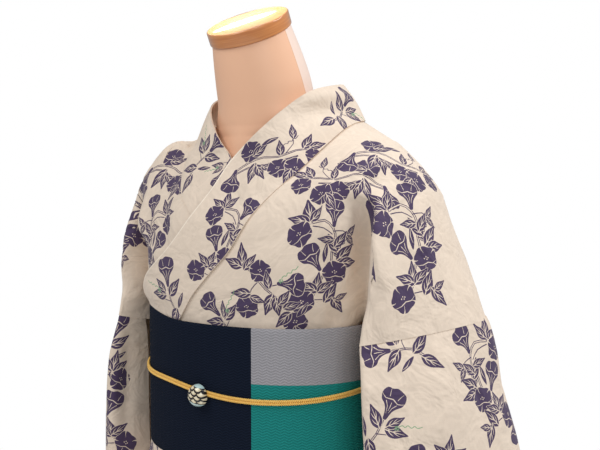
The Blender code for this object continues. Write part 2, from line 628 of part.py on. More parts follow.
def make_bead():
    """A domed oval bead with a flat back, in front of the cord."""
    front = body_at(WAIST)[0][1]
    face = BELT_INSIDE + BELT + GAP + CORD_DEPTH + GAP
    y_back = -(front + face)
    rings = []
    for part in np.linspace(0, 1, 6)[:-1]:
        size = sin(pi / 2 * (1 - part)) ** 0.5 if part else 1.0
        around = np.linspace(0, 2 * pi, 24, endpoint=False)
        rings.append(
            np.stack(
                [
                    BEAD_X + size * BEAD_WIDTH / 2 * np.cos(around),
                    np.full(24, y_back - BEAD_DEPTH * part**0.8),
                    BEAD_Z + size * BEAD_HEIGHT / 2 * np.sin(around),
                ],
                axis=1,
            )
        )
    bridge_rings("obi_bead", rings, "bead")


def main():
    clear_scene()
    make_form()
    make_cap()
    make_stand()
    make_collar("collar_left", OVER_COLLAR_EDGES, OVER_COLLAR, flip=True)
    make_collar("collar_right", UNDER_COLLAR_EDGES, UNDER_COLLAR, flip=False)
    make_bodice("bodice_left", 1, OVER_COLLAR_EDGES, OVER_PANEL, 0)
    make_bodice("bodice_right", -1, UNDER_COLLAR_EDGES, UNDER_PANEL, 1)
    make_sleeve("sleeve_left", 1)
    make_sleeve("sleeve_right", -1)
    make_skirt()
    make_tuck()
    make_belt()
    make_cord()
    make_bead()


main()
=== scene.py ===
# %% [markdown]
# # Cotton yukata robe on a limbless dress form
#
# A yukata is a light cotton robe, worn here by a dress form with a belt, a cord and a glazed bead. The CAD frame
# gives the place and the size of every piece. It could be shown as it is, but its cloth is thick and plain. This
# lesson gives the cloth its real thinness, its creases, its printed vines and its weave. Metres, +Z up, the front
# faces -Y and the wearer's left is +X.

# %% Setup
from math import atan, cos, pi, radians, sin

import bmesh
import bpy
import numpy as np
from mathutils import Matrix, Vector
from mathutils.geometry import delaunay_2d_cdt


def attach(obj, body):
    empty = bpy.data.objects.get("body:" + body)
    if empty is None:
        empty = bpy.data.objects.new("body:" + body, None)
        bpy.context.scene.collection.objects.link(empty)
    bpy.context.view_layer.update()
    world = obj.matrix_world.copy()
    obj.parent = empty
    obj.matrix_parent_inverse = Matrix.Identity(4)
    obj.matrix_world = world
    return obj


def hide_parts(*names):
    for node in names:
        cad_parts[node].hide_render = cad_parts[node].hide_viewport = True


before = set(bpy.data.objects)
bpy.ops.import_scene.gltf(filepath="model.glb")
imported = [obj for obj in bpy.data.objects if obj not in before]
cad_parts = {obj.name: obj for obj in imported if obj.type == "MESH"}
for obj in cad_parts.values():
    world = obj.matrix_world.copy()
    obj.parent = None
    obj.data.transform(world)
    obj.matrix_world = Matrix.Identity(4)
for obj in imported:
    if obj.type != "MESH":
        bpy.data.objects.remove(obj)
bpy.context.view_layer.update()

# %% [markdown]
# ## The forms that the cloth takes
#
# On the real robe, straight panels of cloth are sewn together and take their form from what they lie on. They
# could be draped by a cloth simulation. Tables of the same driving sizes as the CAD sheets are used instead, so
# that every piece stays exactly where its CAD node is. They hold the cloth's inside level by level, the two halves
# of the collar, half of the bodice and half of a sleeve, in tenths of a millimetre unless a comment says otherwise.

# %% Tables
TENTHS = 1e4  # in a metre

# Inside of the cloth, level by level: height, half width, depth in front, depth behind, ten times the squareness
BODY = np.array([
    (500, 1490, 1150, 1160, 22), (3000, 1520, 1180, 1190, 22), (5000, 1550, 1200, 1220, 22),
    (7000, 1570, 1220, 1240, 22), (8000, 1560, 1220, 1250, 22), (8600, 1520, 1200, 1220, 22),
    (9000, 1475, 1170, 1170, 22), (9250, 1420, 1130, 1120, 22), (9410, 1395, 1115, 1092, 22),
    (9500, 1393, 1113, 1090, 22), (9750, 1393, 1113, 1090, 22), (10750, 1393, 1113, 1090, 22),
    (11050, 1393, 1113, 1090, 22), (11120, 1408, 1127, 1103, 22), (11220, 1447, 1146, 1128, 23),
    (11450, 1495, 1153, 1140, 24), (11700, 1520, 1135, 1145, 24), (11900, 1535, 1108, 1145, 24),
    (12100, 1550, 1060, 1140, 24), (12450, 1550, 876, 1130, 24), (12650, 1550, 753, 1130, 24),
    (12850, 1500, 636, 1130, 24), (13200, 1300, 590, 1130, 24),
]) / [TENTHS, TENTHS, TENTHS, TENTHS, 10]

# The collars from the nape to their ends inside the belt: neck edge x, y, z, then seam edge x, y, z.
# They lie 5.3 cm wide at the nape and widen to about 7 cm on the chest.
OVER_COLLAR_EDGES = np.array([
    (5, 1040, 13690, 5, 1155, 13165), (420, 900, 13715, 550, 1010, 13235), (640, 620, 13715, 900, 720, 13280),
    (725, 200, 13660, 1010, 330, 13235), (680, -280, 13530, 1000, 0, 13105), (400, -620, 13170, 880, -570, 12705),
    (80, -700, 12850, 704, -804, 12460), (-60, -940, 12450, 540, -1010, 12180),
    (-270, -1120, 12100, 377, -1165, 11830), (-500, -1160, 11830, 105, -1205, 11540),
    (-730, -1120, 11640, -70, -1220, 11360), (-960, -980, 11440, -230, -1220, 11180),
    (-1180, -780, 11150, -430, -1170, 10960), (-1310, -600, 10850, -600, -1130, 10720),
]) / TENTHS
UNDER_COLLAR_EDGES = np.array([
    (-5, 1040, 13690, -5, 1155, 13165), (-400, 900, 13715, -550, 1010, 13235), (-610, 620, 13705, -890, 720, 13280),
    (-680, 180, 13630, -995, 310, 13240), (-625, -300, 13470, -990, -40, 13110),
    (-320, -590, 13150, -830, -520, 12750), (-10, -665, 12830, -590, -760, 12460),
    (200, -760, 12620, -320, -960, 12220), (450, -880, 12330, 0, -1100, 11940),
    (720, -930, 12020, 300, -1140, 11640), (950, -930, 11720, 600, -1100, 11340),
    (1150, -860, 11370, 860, -1000, 11030), (1280, -660, 10980, 1020, -850, 10720),
]) / TENTHS

# Half of the bodice, for the wearer's left, from inside the belt in front over the shoulder to inside the
# belt behind. The first four numbers are the way down the cloth from the shoulder line, the places along the
# left and the right collar's table where that row starts, and the height where it starts at the back seam.
# Then come x, y, z of five points: where the chest turns, the depth of the armpit fold, the fold's front or
# back edge, half way down the loose shoulder, and the armhole seam.
BODICE = np.array([
    (2600, 13, 12, 0, 1320, -580, 10780, 1458, -80, 11080, 1520, -140, 11070, 1570, -220, 11000, 1620, -330, 10780),
    (2300, 11.6, 10.8, 0, 1370, -700, 11120, 1515, -240, 11170, 1590, -300, 11120, 1640, -380, 11020,
     1690, -460, 10810),
    (1950, 10, 9.5, 0, 1390, -770, 11410, 1560, -280, 11420, 1710, -480, 11320, 1790, -700, 11120, 1810, -800, 10880),
    (1600, 8.1, 8.35, 0, 1400, -780, 11780, 1575, -300, 11760, 1840, -670, 11550, 1900, -670, 11220, 1910, -670, 10895),
    (1250, 6.6, 6.7, 0, 1400, -760, 12170, 1590, -340, 12130, 1850, -600, 11900, 2010, -500, 11450, 2100, -440, 10930),
    (900, 5.2, 5.35, 0, 1330, -570, 12590, 1590, -500, 12490, 1860, -360, 12220, 2090, -200, 11600, 2280, -100, 10965),
    (500, 4.3, 4.35, 0, 1400, -140, 12925, 1700, -80, 12695, 1960, 40, 12360, 2210, 140, 11680, 2440, 260, 11005),
    (0, 3, 3, 0, 1500, 330, 12995, 1800, 340, 12725, 2030, 400, 12400, 2270, 530, 11720, 2520, 650, 11030),
    (-250, 2, 2, 0, 1430, 720, 12970, 1730, 740, 12690, 1960, 790, 12360, 2210, 860, 11700, 2430, 880, 11030),
    (-450, 0, 0, 13145, 1380, 900, 12800, 1660, 890, 12560, 1880, 920, 12250, 2100, 1030, 11630, 2250, 1080, 11025),
    (-900, 0, 0, 12680, 1360, 980, 12420, 1570, 860, 12320, 1800, 980, 12040, 1920, 1120, 11500, 1950, 1225, 11010),
    (-1300, 0, 0, 12250, 1380, 880, 12050, 1545, 500, 12030, 1760, 900, 11780, 1790, 1080, 11380, 1770, 1095, 10990),
    (-1650, 0, 0, 11850, 1360, 830, 11680, 1530, 440, 11680, 1680, 700, 11500, 1710, 820, 11220, 1690, 780, 10960),
    (-1950, 0, 0, 11500, 1350, 790, 11380, 1520, 400, 11400, 1610, 500, 11280, 1650, 520, 11120, 1660, 460, 10940),
    (-2300, 0, 0, 11150, 1330, 720, 11120, 1510, 340, 11170, 1570, 320, 11120, 1610, 240, 11040, 1645, 140, 10920),
    (-2600, 0, 0, 10780, 1290, 620, 10780, 1470, 220, 11070, 1510, 200, 11060, 1560, 140, 11010, 1600, 50, 10890),
]) / ([TENTHS, 1, 1, TENTHS] + 15 * [TENTHS])
NAPE_DROP = -0.045  # rows below this drop start at the back seam
CHEST_PARTS = np.array([0.2, 0.4, 0.6, 0.8])  # columns added between a row's start and the chest's turn
BACK_ROUND = 0.008  # how far the upper back is rounded out between them
ARM_FROM, ARM_FADE, RIGHT_ARM_IN = 0.155, 0.02, 0.008  # from this x out, the right arm hangs this much closer in
V_STRETCH = 1.06  # the cloth's own length for each metre of drop
BODICE_FINE = 8  # rows and columns for each of the table's own
CHEST_PRESSED, CHEST_FADE = 6, 5  # columns past the chest's turn where it stops lying on the body, and its fade
BELT_CLEAR = 0.004  # above the belt, where the cloth may leave the body
FRONT_FROM, FRONT_FADE = 0.02, 0.05  # the y where the front's own layer starts, and its fade
# Where cloth lies on the body: under this height, and in the front opening up to its half width and its top
HUG_HEIGHT, HUG_FADE = 1.21, 0.04
OPENING_HALF, OPENING_FADE, OPENING_TOP, OPENING_TOP_FADE = 0.095, 0.05, 1.298, 0.012
COLLAR_FINE, COLLAR_COLUMNS, COLLAR_ROUND = 12, 25, 0.0025

# Half of the sleeves, for the wearer's left: height, then x, y at each corner of the hanging tube, from its
# front end round its outer fold to its back end
SLEEVE = np.array([
    (10400, 1720, -400, 1840, -800, 2100, -640, 2420, -180, 2640, 740, 1900, 1290, 1705, 700, 1670, 120),
    (9700, 1740, -380, 1870, -790, 2240, -610, 2560, -120, 2810, 890, 1920, 1360, 1730, 700, 1690, 80),
    (8900, 1770, -320, 1900, -740, 2310, -570, 2650, -40, 2930, 1000, 1950, 1380, 1760, 650, 1720, 0),
    (8300, 1800, -154, 1940, -640, 2340, -500, 2680, 20, 2970, 1000, 1980, 1320, 1800, 600, 1800, -146),
    (7600, 1840, -104, 1990, -520, 2360, -380, 2660, 100, 2930, 940, 2020, 1200, 1850, 550, 1840, -96),
    (6800, 1890, -4, 2040, -340, 2360, -220, 2620, 180, 2860, 860, 2060, 1040, 1910, 500, 1890, 4),
]) / TENTHS
SLEEVE_STATIONS = np.array([1.0, 2, 4, 5, 7, 10, 12, 14])  # the rows of the bodice table that meet those corners
SLEEVE_COLUMNS = 27
CUFF_LIFT, CUFF_LIFT_FROM = 0.060, 0.830  # how much higher the cuff ends at the outer fold, rising from here
CUFF_LIFT_X, CUFF_LIFT_FADE = 0.19, 0.08  # and from this x out

# Layers, as in the CAD: gaps, then the thickness of each cloth, then how far out each outer face lies
GAP, SEAM, COLLAR_SEAM, OVERLAP_CLEAR = 0.0003, 0.0006, 0.0010, 0.0022
COTTON, BAND, TUCK, BELT = 0.0018, 0.0024, 0.0034, 0.0045
UNDER_PANEL, UNDER_COLLAR = COTTON, BAND
OVER_PANEL, OVER_COLLAR = BAND + OVERLAP_CLEAR + COTTON, BAND + OVERLAP_CLEAR + BAND
BELT_INSIDE = OVER_COLLAR + SEAM
BELT_FACE = BELT_INSIDE + BELT
HEM, SKIRT_TOP, BELT_BOTTOM, BELT_TOP, WAIST = 0.070, 0.955, 0.943, 1.100, 1.020

SKIRT = (
    # name, first turn, last turn, outer face at the first and the last turn
    ("skirt_back_left", 0.12, 87.0, UNDER_PANEL, UNDER_PANEL),
    ("skirt_back_right", 273.0, 359.88, UNDER_PANEL, UNDER_PANEL),
    ("skirt_front_right", 177.0, 272.75, UNDER_PANEL, UNDER_PANEL),
    ("skirt_overlap_right", 118.0, 176.75, UNDER_PANEL, UNDER_PANEL),
    ("skirt_front_left", 87.25, 184.0, UNDER_PANEL, OVER_PANEL),
    ("skirt_overlap_left", 184.25, 244.0, OVER_PANEL, OVER_PANEL),
)
SKIRT_STEP_TURN = 20.0  # how far round the left front takes to rise over the right
SKIRT_ROWS, SKIRT_TURN = 119, 1.5  # rows, and degrees between columns
TUCK_TOP, TUCK_LOW_FRONT, TUCK_LOW_BACK = BELT_BOTTOM - GAP, 0.872, 0.884
TUCK_CLEAR, TUCK_SWELL, TUCK_ROUND = 0.0014, 0.0016, 0.8
TUCK_ROWS, TUCK_COLUMNS = 19, 241
print("tables:", len(BODY), "body levels,", len(BODICE), "bodice rows,", len(SLEEVE), "sleeve levels")

# %% [markdown]
# ## Fine sheets
#
# A woven panel bends but hardly stretches, so a place on it can be named by how far along and across the thread
# it lies. Each cloth piece becomes a fine grid of points on its outer face, with such flat cutting coordinates for
# every point. A subdivided mesh would be as smooth, but a grid is easier to read at any place between its points,
# and the print, the weave and the creases all need that.


# %% Curves
def curve(knots, values, places):
    """A smooth curve through values, one row for each knot, read at every place."""
    knots, values = np.asarray(knots, float), np.asarray(values, float)
    slopes = np.gradient(values, knots, axis=0)
    places = np.clip(np.atleast_1d(np.asarray(places, float)), knots[0], knots[-1])
    low = np.clip(np.searchsorted(knots, places, side="right") - 1, 0, len(knots) - 2)
    span = knots[low + 1] - knots[low]
    part = (places - knots[low]) / span
    shape = (-1,) + (1,) * (values.ndim - 1)
    span, part = span.reshape(shape), part.reshape(shape)
    return (
        (1 + 2 * part) * (1 - part) ** 2 * values[low]
        + part * (1 - part) ** 2 * (slopes[low] * span)
        + part**2 * (3 - 2 * part) * values[low + 1]
        + part**2 * (part - 1) * (slopes[low + 1] * span)
    )


def ease(value):
    """0 below 0, 1 above 1 and smooth between."""
    value = np.clip(value, 0.0, 1.0)
    return value * value * (3 - 2 * value)


def unit(vectors):
    """Vectors along the last axis at length 1."""
    return vectors / np.maximum(np.linalg.norm(vectors, axis=-1, keepdims=True), 1e-12)


def squared(value, square):
    """A sine or cosine for a rounded square instead of a circle."""
    return np.sign(value) * np.abs(value) ** (2 / square)


print("a curve half way:", round(float(curve([0, 1, 2], [0, 1, 4], 1.5)[0]), 4))


# %% The body under the cloth
def body_at(z):
    """Half width, front depth, back depth and squareness of the cloth's inside, one array each."""
    z = np.asarray(z, float)
    return np.moveaxis(curve(BODY[:, 0], BODY[:, 1:], z.ravel()).reshape(*z.shape, 4), -1, 0)


def round_body(turns, z, out):
    """Points round the body at turns in degrees from the back seam, each moved out level."""
    turns, z, out = np.broadcast_arrays(np.radians(turns), z, out)
    half, front, back, square = body_at(z)
    depth = np.where(np.cos(turns) > 0, back, front) + out
    return np.stack([(half + out) * squared(np.sin(turns), square), depth * squared(np.cos(turns), square), z], axis=-1)


def press_to_body(points, out, weight):
    """Moves points level, towards or from the axis, to lie this far out on the body."""
    x, y, z = np.moveaxis(points, -1, 0)
    half, front, back, square = body_at(z)
    depth = np.where(y > 0, back, front) + out
    reach = (np.abs(x / (half + out)) ** square + np.abs(y / depth) ** square) ** (1 / square)
    scale = 1 + weight * (1 / np.maximum(reach, 0.2) - 1)
    return np.stack([x * scale, y * scale, z], axis=-1)


def hug(points):
    """How closely cloth lies on the body: fully below the chest, and near the front opening up to the neck."""
    x, y, z = np.moveaxis(points, -1, 0)
    opening = ease((OPENING_HALF - np.abs(x)) / OPENING_FADE) * ease((OPENING_TOP - z) / OPENING_TOP_FADE) * (y < 0)
    return np.maximum(ease((HUG_HEIGHT - z) / HUG_FADE), opening)


print("body at the waist:", [round(float(size), 4) for size in body_at(WAIST)])


# %% Grids of points
def finer(grid, rows, columns):
    """The same sheet with this many times the rows and columns, still smooth."""
    for axis, times in ((0, rows), (1, columns)):
        count = grid.shape[axis]
        places = np.linspace(0, count - 1, times * (count - 1) + 1)
        grid = np.moveaxis(curve(np.arange(count), np.moveaxis(grid, axis, 0), places), 0, axis)
    return grid


def lengths(grid, axis):
    """Distance along the sheet from its first row or column to every point."""
    steps = np.cumsum(np.linalg.norm(np.diff(grid, axis=axis), axis=-1), axis=axis)
    return np.insert(steps, 0, 0.0, axis=axis)


def read_grid(values, places):
    """A grid's values at fractional rows and columns."""
    last = np.array(values.shape[:2]) - 1
    places = np.clip(places, 0, last)
    row, column = np.minimum(places.astype(int), last - 1).T
    a, b = (places - np.stack([row, column], axis=1)).T[:, :, None]
    values = values.reshape(*values.shape[:2], -1)
    return (
        values[row, column] * (1 - a) * (1 - b)
        + values[row + 1, column] * a * (1 - b)
        + values[row, column + 1] * (1 - a) * b
        + values[row + 1, column + 1] * a * b
    )


def outward(sheet):
    """Unit normals of a sheet's grid, from its neighbours, that point away from the body."""
    grid = sheet["grid"]
    normals = unit(np.cross(np.gradient(grid, axis=1), np.gradient(grid, axis=0)))
    return normals * (-1.0 if sheet["flip"] else 1.0)


print("a grid made finer:", finer(np.zeros((3, 4, 3)), 2, 3).shape)


# %% The collar, the bodice and the sleeves
def collar_edges(edges, places, out):
    """The neck edge and the seam edge of a collar at places along its table."""
    both = curve(np.arange(len(edges)), edges, places).reshape(-1, 2, 3)
    return press_to_body(both, out, hug(both))


def collar_grid(edges, out, flip):
    """The folded band from the nape to its end, one row for each place, from neck edge to seam edge."""
    both = finer(edges, COLLAR_FINE, 1).reshape(-1, 2, 3)
    across = np.linspace(0, 1, COLLAR_COLUMNS)[None, :, None]
    grid = both[:, :1] * (1 - across) + both[:, 1:] * across
    grid = press_to_body(grid, out, hug(grid))
    rounded = COLLAR_ROUND * np.sin(pi * across) * (1 - hug(grid))[..., None]
    return grid + rounded * outward(dict(grid=grid, flip=flip))


def bodice_rows(steps):
    """The bodice table with rows added between its own, as numbers and points."""
    knots = np.arange(len(BODICE))
    index = np.linspace(0, len(BODICE) - 1, steps * (len(BODICE) - 1) + 1)
    numbers = np.stack([np.interp(index, knots, column) for column in BODICE.T[:4]], axis=1)
    return numbers, curve(knots, BODICE[:, 4:].reshape(-1, 5, 3), index)


def arm_in(x, side):
    """The x of cloth at an arm, which hangs closer in on the right."""
    return x - (0.0 if side > 0 else RIGHT_ARM_IN) * ease((x - ARM_FROM) / ARM_FADE)


def bodice_grid(side, edges, out_front):
    """One half of the bodice, from the front row over the shoulder to the back, collar seam to armhole."""
    numbers, keys = bodice_rows(BODICE_FINE)
    keys[:, 2:, 0] = arm_in(keys[:, 2:, 0], side)
    keys[..., 0] *= side
    rows = []
    for drop, place, middle, key in zip(numbers[:, 0], numbers[:, 1 if side > 0 else 2], numbers[:, 3], keys):
        if drop >= NAPE_DROP:
            neck, seam = collar_edges(edges, place, out_front)[0]
            start = seam + unit(seam - neck) * COLLAR_SEAM
        else:
            start = round_body(0.0, middle, UNDER_PANEL)
            start[0] = side * GAP / 2
        chest = start + (key[0] - start) * CHEST_PARTS[:, None]
        if drop < NAPE_DROP:
            chest[:, 1] += BACK_ROUND * np.sin(pi * CHEST_PARTS)
        rows.append(np.vstack([start, chest, key]))
    grid = finer(np.array(rows), 1, BODICE_FINE)
    out = UNDER_PANEL + (out_front - UNDER_PANEL) * ease((FRONT_FROM - grid[..., 1]) / FRONT_FADE)
    chest_turn = BODICE_FINE * (len(CHEST_PARTS) + 1)
    fade = ease((chest_turn + CHEST_PRESSED - np.arange(grid.shape[1])) / CHEST_FADE)
    weight = np.where(grid[..., 2] < BELT_TOP + BELT_CLEAR, fade, hug(grid) * fade)
    return press_to_body(grid, out, weight), numbers[:, 0]


def sleeve_grid(side):
    """The hanging tube from the armhole seam to the cuff, round from its front inner edge to its back one."""
    _, keys = bodice_rows(1)
    places = np.linspace(SLEEVE_STATIONS[0], SLEEVE_STATIONS[-1], SLEEVE_COLUMNS)
    levels = [curve(np.arange(len(keys)), keys[:, 4], places) - [0, 0, SEAM]]
    for height, *corners in SLEEVE:
        level = curve(SLEEVE_STATIONS, np.insert(np.reshape(corners, (-1, 2)), 2, height, axis=1), places)
        fall = ease((CUFF_LIFT_FROM - height) / (CUFF_LIFT_FROM - SLEEVE[-1][0]))
        level[:, 2] += CUFF_LIFT * ease((level[:, 0] - CUFF_LIFT_X) / CUFF_LIFT_FADE) * fall
        levels.append(level)
    grid = finer(np.array(levels), 2, 1)
    grid[..., 0] = arm_in(grid[..., 0], side) * side
    return finer(grid, 8, 6)


print("bodice rows:", len(bodice_rows(BODICE_FINE)[1]))

# %% Every cloth grid with its flat coordinates
sheets = {}


def keep(name, grid, u, v, flip=False):
    """Keeps a sheet: its points, its flat coordinates, which way its faces wind and which way its print reads."""
    mirrored = name.startswith(("skirt", "tuck")) or name.endswith("_right")
    sheets[name] = dict(grid=grid, u=u, v=np.broadcast_to(v, u.shape), flip=flip, sign=-1.0 if mirrored else 1.0)
    print(f"{name:20s} {grid.shape[0]} x {grid.shape[1]} points")


SIDES = (
    ("left", 1, OVER_COLLAR_EDGES, OVER_COLLAR, OVER_PANEL),
    ("right", -1, UNDER_COLLAR_EDGES, UNDER_COLLAR, UNDER_PANEL),
)
for hand, side, edges, out, _ in SIDES:
    grid = collar_grid(edges, out, side > 0)
    keep("collar_" + hand, grid, lengths(grid, 1), lengths(grid, 0)[:, COLLAR_COLUMNS // 2, None], side > 0)
for hand, side, edges, _, out in SIDES:
    grid, drops = bodice_grid(side, edges, out)
    # The armhole end lies on one thread of the cloth, so the columns count back from it.
    across = lengths(grid, 1)
    keep("bodice_" + hand, grid, across - across[:, -1:], -drops[:, None] * V_STRETCH, side < 0)
for hand, side, *_ in SIDES:
    grid = sleeve_grid(side)
    around, fold = lengths(grid, 1), grid.shape[1] // 2
    keep("sleeve_" + hand, grid, around - around[:, [fold]], lengths(grid, 0).mean(axis=1)[:, None], side > 0)
levels = np.linspace(SKIRT_TOP, HEM, SKIRT_ROWS)[:, None]
for name, first, last, out_first, out_last in SKIRT:
    turns = np.linspace(first, last, int((last - first) / SKIRT_TURN) + 1)[None, :]
    out = out_first + (out_last - out_first) * ease((turns - first) / SKIRT_STEP_TURN)
    grid = round_body(turns, levels, out)
    keep(name, grid, lengths(grid, 1), SKIRT_TOP - levels)
turns, part = np.linspace(0, 360, TUCK_COLUMNS)[None, :], np.linspace(0, 1, TUCK_ROWS)[:, None]
bottom = TUCK_LOW_BACK + (TUCK_LOW_FRONT - TUCK_LOW_BACK) * (1 - np.cos(np.radians(turns))) / 2
out = OVER_PANEL + TUCK_CLEAR + TUCK + TUCK_SWELL * np.sin(pi * part * TUCK_ROUND)
grid = round_body(turns, TUCK_TOP + (bottom - TUCK_TOP) * part, out)
keep("tuck_fold", grid, lengths(grid, 1), lengths(grid, 0).mean(axis=1)[:, None])

# %% [markdown]
# ## Creases
#
# The belt and the collar pull the cotton into long soft folds, and the cloth steps down where a panel turns under
# the arm. A simulation makes such folds too, but not in chosen places. Here each main crease is a line on a sheet
# with a width and a height, which lifts the grid and fades out at both ends. A fold that stands out is positive and
# a hollow is negative.

# %% Creases placed one by one
# For each piece: width and height in millimetres, then places down and across the sheet in thousandths of its
# sides. The front comes first, then the same sort of creases on the back, the outer sleeves and the skirt.
CREASES = {
    "bodice_left": (
        (12, -3.5, 317, 708, 233, 653, 125, 653), (8, 3.3, 342, 639, 375, 639, 417, 653),
        (7, -3.1, 400, 667, 375, 681, 342, 708), (8, 2.7, 350, 750, 300, 806, 233, 889),
        (9, -2, 208, 653, 142, 625, 50, 569), (6, -2.4, 100, 681, 58, 611, 42, 542),
        (5, -2.2, 100, 139, 75, 167, 42, 194), (8, 2, 117, 167, 75, 194, 42, 222),
        (10, 2.4, 325, 639, 258, 611, 192, 611), (11, -2.5, 450, 778, 442, 875, 425, 958),
        (11, 2.5, 417, 750, 392, 847, 350, 944), (7, 2.6, 117, 431, 75, 458, 50, 458),
        (6, -2.2, 108, 375, 75, 389, 50, 403), (7, -2.4, 108, 569, 67, 583, 42, 583),
        (28, -4, 533, 764, 525, 806, 533, 833, 508, 889, 533, 944), (10, -3, 640, 690, 700, 720, 780, 735, 880, 700),
        (11, 2.6, 600, 800, 680, 830, 780, 830), (10, -2.2, 860, 400, 920, 430, 980, 440),
        (11, 2, 700, 300, 800, 330, 900, 330), (9, 2, 780, 620, 880, 560, 970, 520),
    ),
    "sleeve_left": (
        (10, -3, 31, 288, 177, 269, 302, 237), (11, 3.1, 52, 333, 198, 314, 312, 288),
        (9, -2.7, 52, 397, 208, 385, 333, 378), (24, 5, 0, 462, 42, 500, 73, 474, 125, 494, 188, 481),
        (12, 2.6, 50, 640, 300, 660, 620, 680), (11, -2.2, 40, 700, 280, 715, 560, 730),
        (12, 2.2, 80, 820, 350, 810, 700, 800),
    ),
    "bodice_right": (
        (8, -2.5, 350, 139, 267, 250, 175, 319), (7, 2.5, 358, 417, 283, 653, 192, 431),
        (7, -2.5, 217, 83, 158, 236, 25, 861), (32, 12, 425, 306, 408, 500, 383, 542, 367, 597, 342, 653),
        (32, 6.5, 350, 625, 325, 708, 308, 750, 275, 778, 233, 792), (5, -1.8, 692, 667, 250, 0, 208, 208, 158, 319),
        (13, -4, 67, 875, 67, 375, 58, 278, 58, 236), (10, -3, 640, 690, 710, 725, 790, 730, 870, 700),
        (11, 2.6, 610, 810, 690, 835, 790, 835), (10, -2, 850, 420, 920, 440, 980, 450),
        (11, 2, 710, 280, 810, 310, 900, 320),
    ),
    "sleeve_right": (
        (7, 2.7, 42, 71, 250, 90, 417, 103), (7, -2.7, 62, 45, 281, 51, 438, 58),
        (12, 2.6, 50, 640, 300, 660, 620, 680), (11, -2.2, 40, 700, 280, 715, 560, 730),
        (10, 2.2, 100, 380, 350, 390, 700, 400),
    ),
    "collar_left": (
        (8, -1.7, 449, 417, 519, 417, 615, 458), (6, 1.5, 378, 625, 455, 667, 526, 667),
        (15, -8.5, 199, 792, 269, 542, 314, 375, 353, 333), (8, 4, 173, 458, 244, 208, 308, 167),
    ),
    "collar_right": (
        (5, -1.4, 396, 42, 438, 208, 472, 292),
    ),
    "skirt_front_left": (
        (16, 1.6, 20, 450, 300, 470, 700, 500),
    ),
    "skirt_overlap_left": (
        (14, 1.4, 20, 550, 300, 580, 620, 600),
    ),
    "skirt_back_left": (
        (16, 1.8, 20, 350, 350, 330, 800, 320), (15, 1.5, 20, 750, 300, 760, 650, 780),
    ),
    "skirt_back_right": (
        (16, 1.8, 20, 600, 350, 620, 800, 640), (15, 1.5, 20, 250, 300, 240, 650, 230),
    ),
    "skirt_front_right": (
        (16, 1.6, 20, 300, 300, 290, 700, 270),
    ),
}
# A step: the cloth on the first side of the line stands out over the other
STEP = (11, 7.5, 342, 722, 300, 750, 258, 778, 233, 833)
STEP_SHARP, STEP_BACK = 0.0014, 1.9  # how wide its edge is, and how much deeper its low side lies
# The rise of each collar at its seam and at its free edge below the neck
FREE_FROM, FREE_FADE = 0.42, 0.12  # how far down that edge is free, as parts of the collar
COLLAR_RISE = {"collar_left": (0.0018, 0.0046), "collar_right": (0.0012, 0.0012)}
# How far a piece runs on under its seam, and how deep below it
LAPS = {"bodice": (0.0032, 0.0006), "sleeve": (0.0028, 0.0009)}

print("creases:", sum(map(len, CREASES.values())))


# %% Lifting a sheet along a line
def knots_on(sheet, places):
    """Rows and columns of places given in thousandths of a sheet's sides."""
    return np.reshape(places, (-1, 2)) / 1000 * (np.array(sheet["grid"].shape[:2]) - 1)


def raise_line(sheet, width, height, *places, step=False):
    """Lifts a sheet along a line, softly or, for a step, with a sharp edge that fades away on both sides."""
    count, power = (60, 0.6) if step else (40, 0.7)
    grid, out, knots = sheet["grid"], outward(sheet), knots_on(sheet, places)
    path = read_grid(grid, curve(np.arange(len(knots)), knots, np.linspace(0, len(knots) - 1, count)))
    away = np.linalg.norm(grid[:, :, None] - path, axis=-1)
    nearest = away.argmin(axis=-1)
    fade = np.sin(pi * (nearest + 0.5) / count) ** power
    bump = np.exp(-((away.min(axis=-1) / (width * 0.001)) ** 2)) * fade * height * 0.001
    if step:
        along = unit(np.gradient(path, axis=0))[nearest]
        side = (np.cross(out, along) * (grid - path[nearest])).sum(axis=-1)
        bump *= np.where(side > 0, 1.0, STEP_BACK) * np.tanh(side / STEP_SHARP)
    sheet["grid"] = grid + out * bump[..., None]


def strip(name, places, low, high, ink):
    """A narrow strip of one ink along a line. Low and high are how many columns across from it its sides lie."""
    knots = knots_on(sheets[name], places)
    index = np.arange(len(knots))
    at = np.linspace(0, len(knots) - 1, int(2 * np.abs(np.diff(knots[:, 0])).sum()))
    line = curve(index, knots, at)
    low, high = (line + np.interp(at, index, side)[:, None] * [0, 1] for side in (low, high))
    sheets[name]["strips"] = [(np.vstack([low, high[::-1]]), ink)]


print("row and column in the middle of the left bodice:", *knots_on(sheets["bodice_left"], (500, 500)))


# %% Creased sheets
# The left bodice gets finer across, for its sharp folds. The print is laid out on the sheets without creases.
for part in ("grid", "u", "v"):
    sheets["bodice_left"][part] = finer(sheets["bodice_left"][part], 1, 2)
for name, sheet in sheets.items():
    sheet["plain"] = sheet["grid"]
    for crease in CREASES.get(name, ()):
        raise_line(sheet, *crease)
raise_line(sheets["bodice_left"], *STEP, step=True)
for name, (seam, free) in COLLAR_RISE.items():
    sheet = sheets[name]
    down, across = (np.linspace(0, 1, count) for count in sheet["grid"].shape[:2])
    rise = seam + (free - seam) * ease((down[:, None] - FREE_FROM) / FREE_FADE) * (1 - across)
    sheet["grid"] = sheet["grid"] + outward(sheet) * rise[..., None]
for name, sheet in sheets.items():
    if name[:6] in LAPS:
        lap, under = LAPS[name[:6]]
        out, grid = outward(sheet), sheet["grid"].copy()
        # Views of the edge's points with the first column of a bodice or the first row of a sleeve in front
        edge, edge_out = (np.moveaxis(array, 1, 0) if name[:6] == "bodice" else array for array in (grid, out))
        edge[0] += unit(edge[0] - edge[1]) * lap - edge_out[0] * under
        sheet["grid"] = grid
